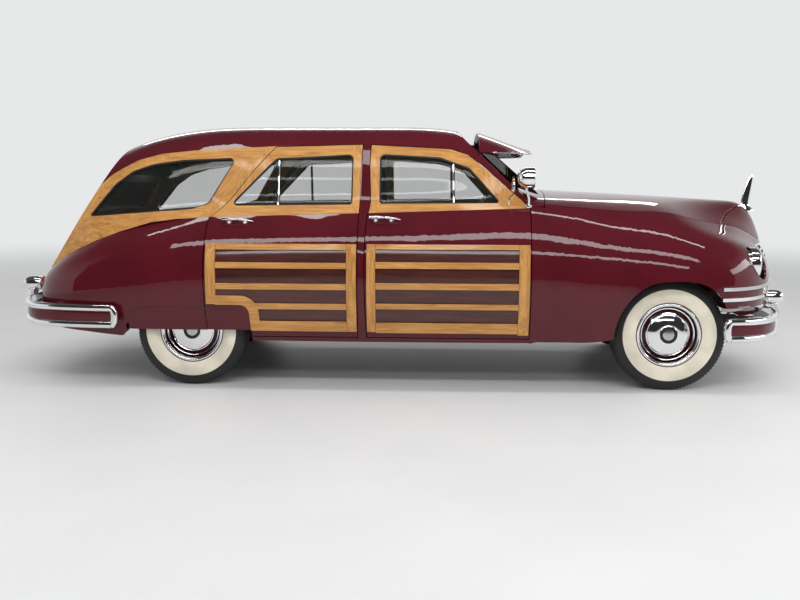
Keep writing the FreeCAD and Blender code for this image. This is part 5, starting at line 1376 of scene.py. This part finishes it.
class WAGON_OT_cabin(Piece, bpy.types.Operator):
    """Bench seats and the steering wheel"""

    bl_idname = "wagon.cabin"
    bl_label = "Cabin"

    def execute(self, context):
        for end in ("front", "rear"):
            low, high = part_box(f"{end}_seat")
            self.bench(end, low, high)
        dress(("steering_wheel",), "ivory")
        return {"FINISHED"}

    def bench(self, end, low, high):
        cushion_top, cushion_bottom, back_depth = 0.700, 0.510, 0.150
        seat_x = low.x + back_depth
        right, left = low.y + 0.01, high.y - 0.01
        parts = (("cushion", (seat_x + 0.004, right, cushion_bottom), (high.x, left, cushion_top), "Z"),
                 ("backrest", (low.x, right, cushion_bottom), (seat_x - 0.002, left, high.z), "X"))
        for index, (part, lowest, highest, crown) in enumerate(parts):
            obj = finish_mesh(f"{end}_seat_{part}", cushion_form(lowest, highest, crown), ["leather"], 80)
            place_piece(obj, "body", (f"{end}_seat",) if index == 0 else ())
        bm = bmesh.new()
        block(bm, (seat_x + 0.01, low.y + 0.045, low.z),
              (high.x - 0.065, high.y - 0.045, cushion_bottom + 0.01), 0.006)
        add_piece(f"{end}_seat_base", bm, ["frame_black"], 40, "body")


# Stage

BACKDROP = (0.80, 0.81, 0.815)
# Name, place, tilts about x and y in degrees, width, depth and power
LAMPS = (("overhead_lamp", (0.3, -1.2, 5.0), (0, 0), 9.0, 0.3, 90),
         ("near_lamp", (0.5, -4.6, 4.4), (48, 0), 9.0, 0.6, 130),
         ("second_near_lamp", (0.9, -5.6, 3.1), (62, 0), 7.0, 0.3, 50),
         ("far_lamp", (-0.5, 6.0, 4.2), (-58, 0), 9.0, 0.6, 90),
         ("front_lamp", (6.5, -1.5, 2.6), (0, 70), 0.8, 4.0, 60))
CAMERA_PLACE = (0.3078, -6.3267, 1.2987)
CAMERA_YAW, CAMERA_PITCH, CAMERA_ROLL = 2.802, 7.59, 0.15
CAMERA_LENS = 39.14
SENSOR_WIDTH = 36.0


class WAGON_OT_stage(Piece, bpy.types.Operator):
    """Pale floor, soft lamps and the camera"""

    bl_idname = "wagon.stage"
    bl_label = "Stage"

    def execute(self, context):
        scene = context.scene
        scene.view_settings.view_transform = "Standard"
        self.floor(scene)
        self.world(scene)
        for values in LAMPS:
            self.lamp(scene, *values)
        self.card(scene)
        self.camera(scene)
        return {"FINISHED"}

    @staticmethod
    def lamp(scene, name, place, tilts, width, depth, power):
        data = bpy.data.lights.new(name, "AREA")
        data.shape = "RECTANGLE"
        data.size = width
        data.size_y = depth
        data.energy = power
        obj = bpy.data.objects.new(name, data)
        obj.location = place
        obj.rotation_euler = (math.radians(tilts[0]), math.radians(tilts[1]), 0)
        scene.collection.objects.link(obj)

    @staticmethod
    def card(scene):
        """Dark card on the near side, so that the gloss keeps its depth."""
        bm = bmesh.new()
        places = ((-16, -9, 0.0), (16, -9, 0.0), (16, -7, 9), (-16, -7, 9))
        bm.faces.new([bm.verts.new(place) for place in places])
        mesh = bpy.data.meshes.new("dark_card")
        bm.to_mesh(mesh)
        bm.free()
        mesh.materials.append(MATERIALS["card"])
        obj = bpy.data.objects.new("dark_card", mesh)
        scene.collection.objects.link(obj)
        obj.visible_camera = False
        obj.visible_diffuse = False
        obj.visible_shadow = False
        obj.visible_transmission = False

    @staticmethod
    def floor(scene):
        bm = bmesh.new()
        bmesh.ops.create_circle(bm, cap_ends=True, segments=96, radius=60.0)
        mesh = bpy.data.meshes.new("floor")
        bm.to_mesh(mesh)
        bm.free()
        obj = bpy.data.objects.new("floor", mesh)
        scene.collection.objects.link(obj)
        material, tree, shader = new_material("Pale_floor", {"Roughness": 0.45, "Specular IOR Level": 0.25})
        vector = object_coordinates(tree)
        tones = ramp(tree, noise(tree, vector, 1.2, 3.0),
                     [(0.3, (0.70, 0.705, 0.71)), (0.7, (0.74, 0.74, 0.74))])
        tree.links.new(tones, shader.inputs["Base Color"])
        mesh.materials.append(material)
        length = add_node(tree, "ShaderNodeVectorMath", (), {0: vector}, operation="LENGTH")
        fade = add_node(tree, "ShaderNodeMapRange", {"From Min": 5.0, "From Max": 16.0},
                        {"Value": length.outputs["Value"]}, interpolation_type="SMOOTHSTEP")
        pale = add_node(tree, "ShaderNodeEmission", {"Color": BACKDROP + (1,)})
        mix = add_node(tree, "ShaderNodeMixShader", (), {
            "Fac": fade.outputs["Result"], 1: shader.outputs["BSDF"], 2: pale.outputs["Emission"]})
        tree.links.new(mix.outputs["Shader"], tree.nodes["Material Output"].inputs["Surface"])

    @staticmethod
    def world(scene):
        world = bpy.data.worlds.new("studio")
        scene.world = world
        world.use_nodes = True
        tree = world.node_tree
        light = tree.nodes["Background"]
        light.inputs["Color"].default_value = (1, 1, 1, 1)
        light.inputs["Strength"].default_value = 0.55
        heading = add_node(tree, "ShaderNodeTexCoord")
        split = add_node(tree, "ShaderNodeSeparateXYZ", (), {"Vector": heading.outputs["Generated"]})
        graded = ramp(tree, split.outputs["Z"], [(0.30, BACKDROP), (0.62, (0.07, 0.07, 0.072))])
        seen = add_node(tree, "ShaderNodeBackground", {"Strength": 1.0}, {"Color": graded})
        rays = add_node(tree, "ShaderNodeLightPath").outputs
        either = add_node(tree, "ShaderNodeMath", (), {0: rays["Is Camera Ray"], 1: rays["Is Glossy Ray"]},
                          operation="MAXIMUM")
        all_three = add_node(tree, "ShaderNodeMath", (), {
            0: either.outputs["Value"], 1: rays["Is Transmission Ray"]}, operation="MAXIMUM")
        mix = add_node(tree, "ShaderNodeMixShader", (), {
            "Fac": all_three.outputs["Value"], 1: light.outputs["Background"], 2: seen.outputs["Background"]})
        tree.links.new(mix.outputs["Shader"], tree.nodes["World Output"].inputs["Surface"])

    @staticmethod
    def camera(scene):
        yaw, pitch, roll = (math.radians(angle) for angle in (CAMERA_YAW, CAMERA_PITCH, CAMERA_ROLL))
        forward = Vector((-math.sin(yaw) * math.cos(pitch), math.cos(yaw) * math.cos(pitch),
                          -math.sin(pitch)))
        right = Vector((math.cos(yaw), math.sin(yaw), 0))
        up = right.cross(forward)
        turned_right = right * math.cos(roll) + up * math.sin(roll)
        turned_up = up * math.cos(roll) - right * math.sin(roll)
        data = bpy.data.cameras.new("camera")
        data.lens = CAMERA_LENS
        data.sensor_width = SENSOR_WIDTH
        obj = bpy.data.objects.new("camera", data)
        scene.collection.objects.link(obj)
        matrix = Matrix((turned_right, turned_up, -forward)).transposed().to_4x4()
        matrix.translation = Vector(CAMERA_PLACE)
        obj.matrix_world = matrix
        scene.camera = obj


# Settings and panel

class WAGON_PG_sizes(bpy.types.PropertyGroup):
    """Sizes that can be changed without changing the part"""

    whitewall_radius: FloatProperty(name="Pale wall radius", description="Outer edge of the pale side wall",
                                    default=0.2925, min=0.25, max=0.32, subtype="DISTANCE", unit="LENGTH")
    tread_blocks: IntProperty(name="Tread blocks", description="Blocks round each shoulder of a tyre",
                              default=96, min=24, max=160)
    cap_radius: FloatProperty(name="Hub cap radius", description="Outer radius of the domed hub cap",
                              default=0.139, min=0.10, max=0.15, subtype="DISTANCE", unit="LENGTH")


class WAGON_PG_colours(bpy.types.PropertyGroup):
    """Colours of the main finishes"""

    body: FloatVectorProperty(name="Body enamel", description="Colour of the painted panels", size=3,
                              default=(0.085, 0.0045, 0.0105), min=0.0, max=1.0, subtype="COLOR")
    ash_light: FloatVectorProperty(name="Light ash", description="Lighter tone of the framing", size=3,
                                   default=(0.64, 0.33, 0.10), min=0.0, max=1.0, subtype="COLOR")
    ash_dark: FloatVectorProperty(name="Dark ash", description="Darker tone of the framing", size=3,
                                  default=(0.40, 0.17, 0.04), min=0.0, max=1.0, subtype="COLOR")


STEPS = ("steel", "wood", "panels", "seams", "tread", "glass", "gear", "wheels", "bumpers", "lamps",
         "window_trim", "bright_trim", "cabin", "stage")


class WAGON_PT_panel(bpy.types.Panel):
    """Sidebar list of the wagon's groups of pieces"""

    bl_idname = "WAGON_PT_panel"
    bl_label = "Wagon"
    bl_space_type = "VIEW_3D"
    bl_region_type = "UI"
    bl_category = "Wagon"

    def draw(self, context):
        layout = self.layout
        for name in WAGON_PG_sizes.__annotations__:
            layout.prop(context.scene.wagon_sizes, name)
        for name in WAGON_PG_colours.__annotations__:
            layout.prop(context.scene.wagon_colours, name)
        for step in STEPS:
            layout.operator("wagon." + step)


CLASSES = (WAGON_PG_sizes, WAGON_PG_colours, WAGON_OT_steel, WAGON_OT_wood, WAGON_OT_panels,
           WAGON_OT_seams, WAGON_OT_tread, WAGON_OT_glass, WAGON_OT_gear, WAGON_OT_wheels, WAGON_OT_bumpers,
           WAGON_OT_lamps, WAGON_OT_window_trim, WAGON_OT_bright_trim, WAGON_OT_cabin, WAGON_OT_stage,
           WAGON_PT_panel)


def register():
    for item in CLASSES:
        bpy.utils.register_class(item)
    bpy.types.Scene.wagon_sizes = PointerProperty(type=WAGON_PG_sizes)
    bpy.types.Scene.wagon_colours = PointerProperty(type=WAGON_PG_colours)


def unregister():
    del bpy.types.Scene.wagon_colours
    del bpy.types.Scene.wagon_sizes
    for item in reversed(CLASSES):
        bpy.utils.unregister_class(item)


def main():
    """Dress the part."""
    register()
    make_materials(bpy.context.scene.wagon_colours)
    for step in STEPS:
        getattr(bpy.ops.wagon, step)()


if __name__ == "__main__":
    main()
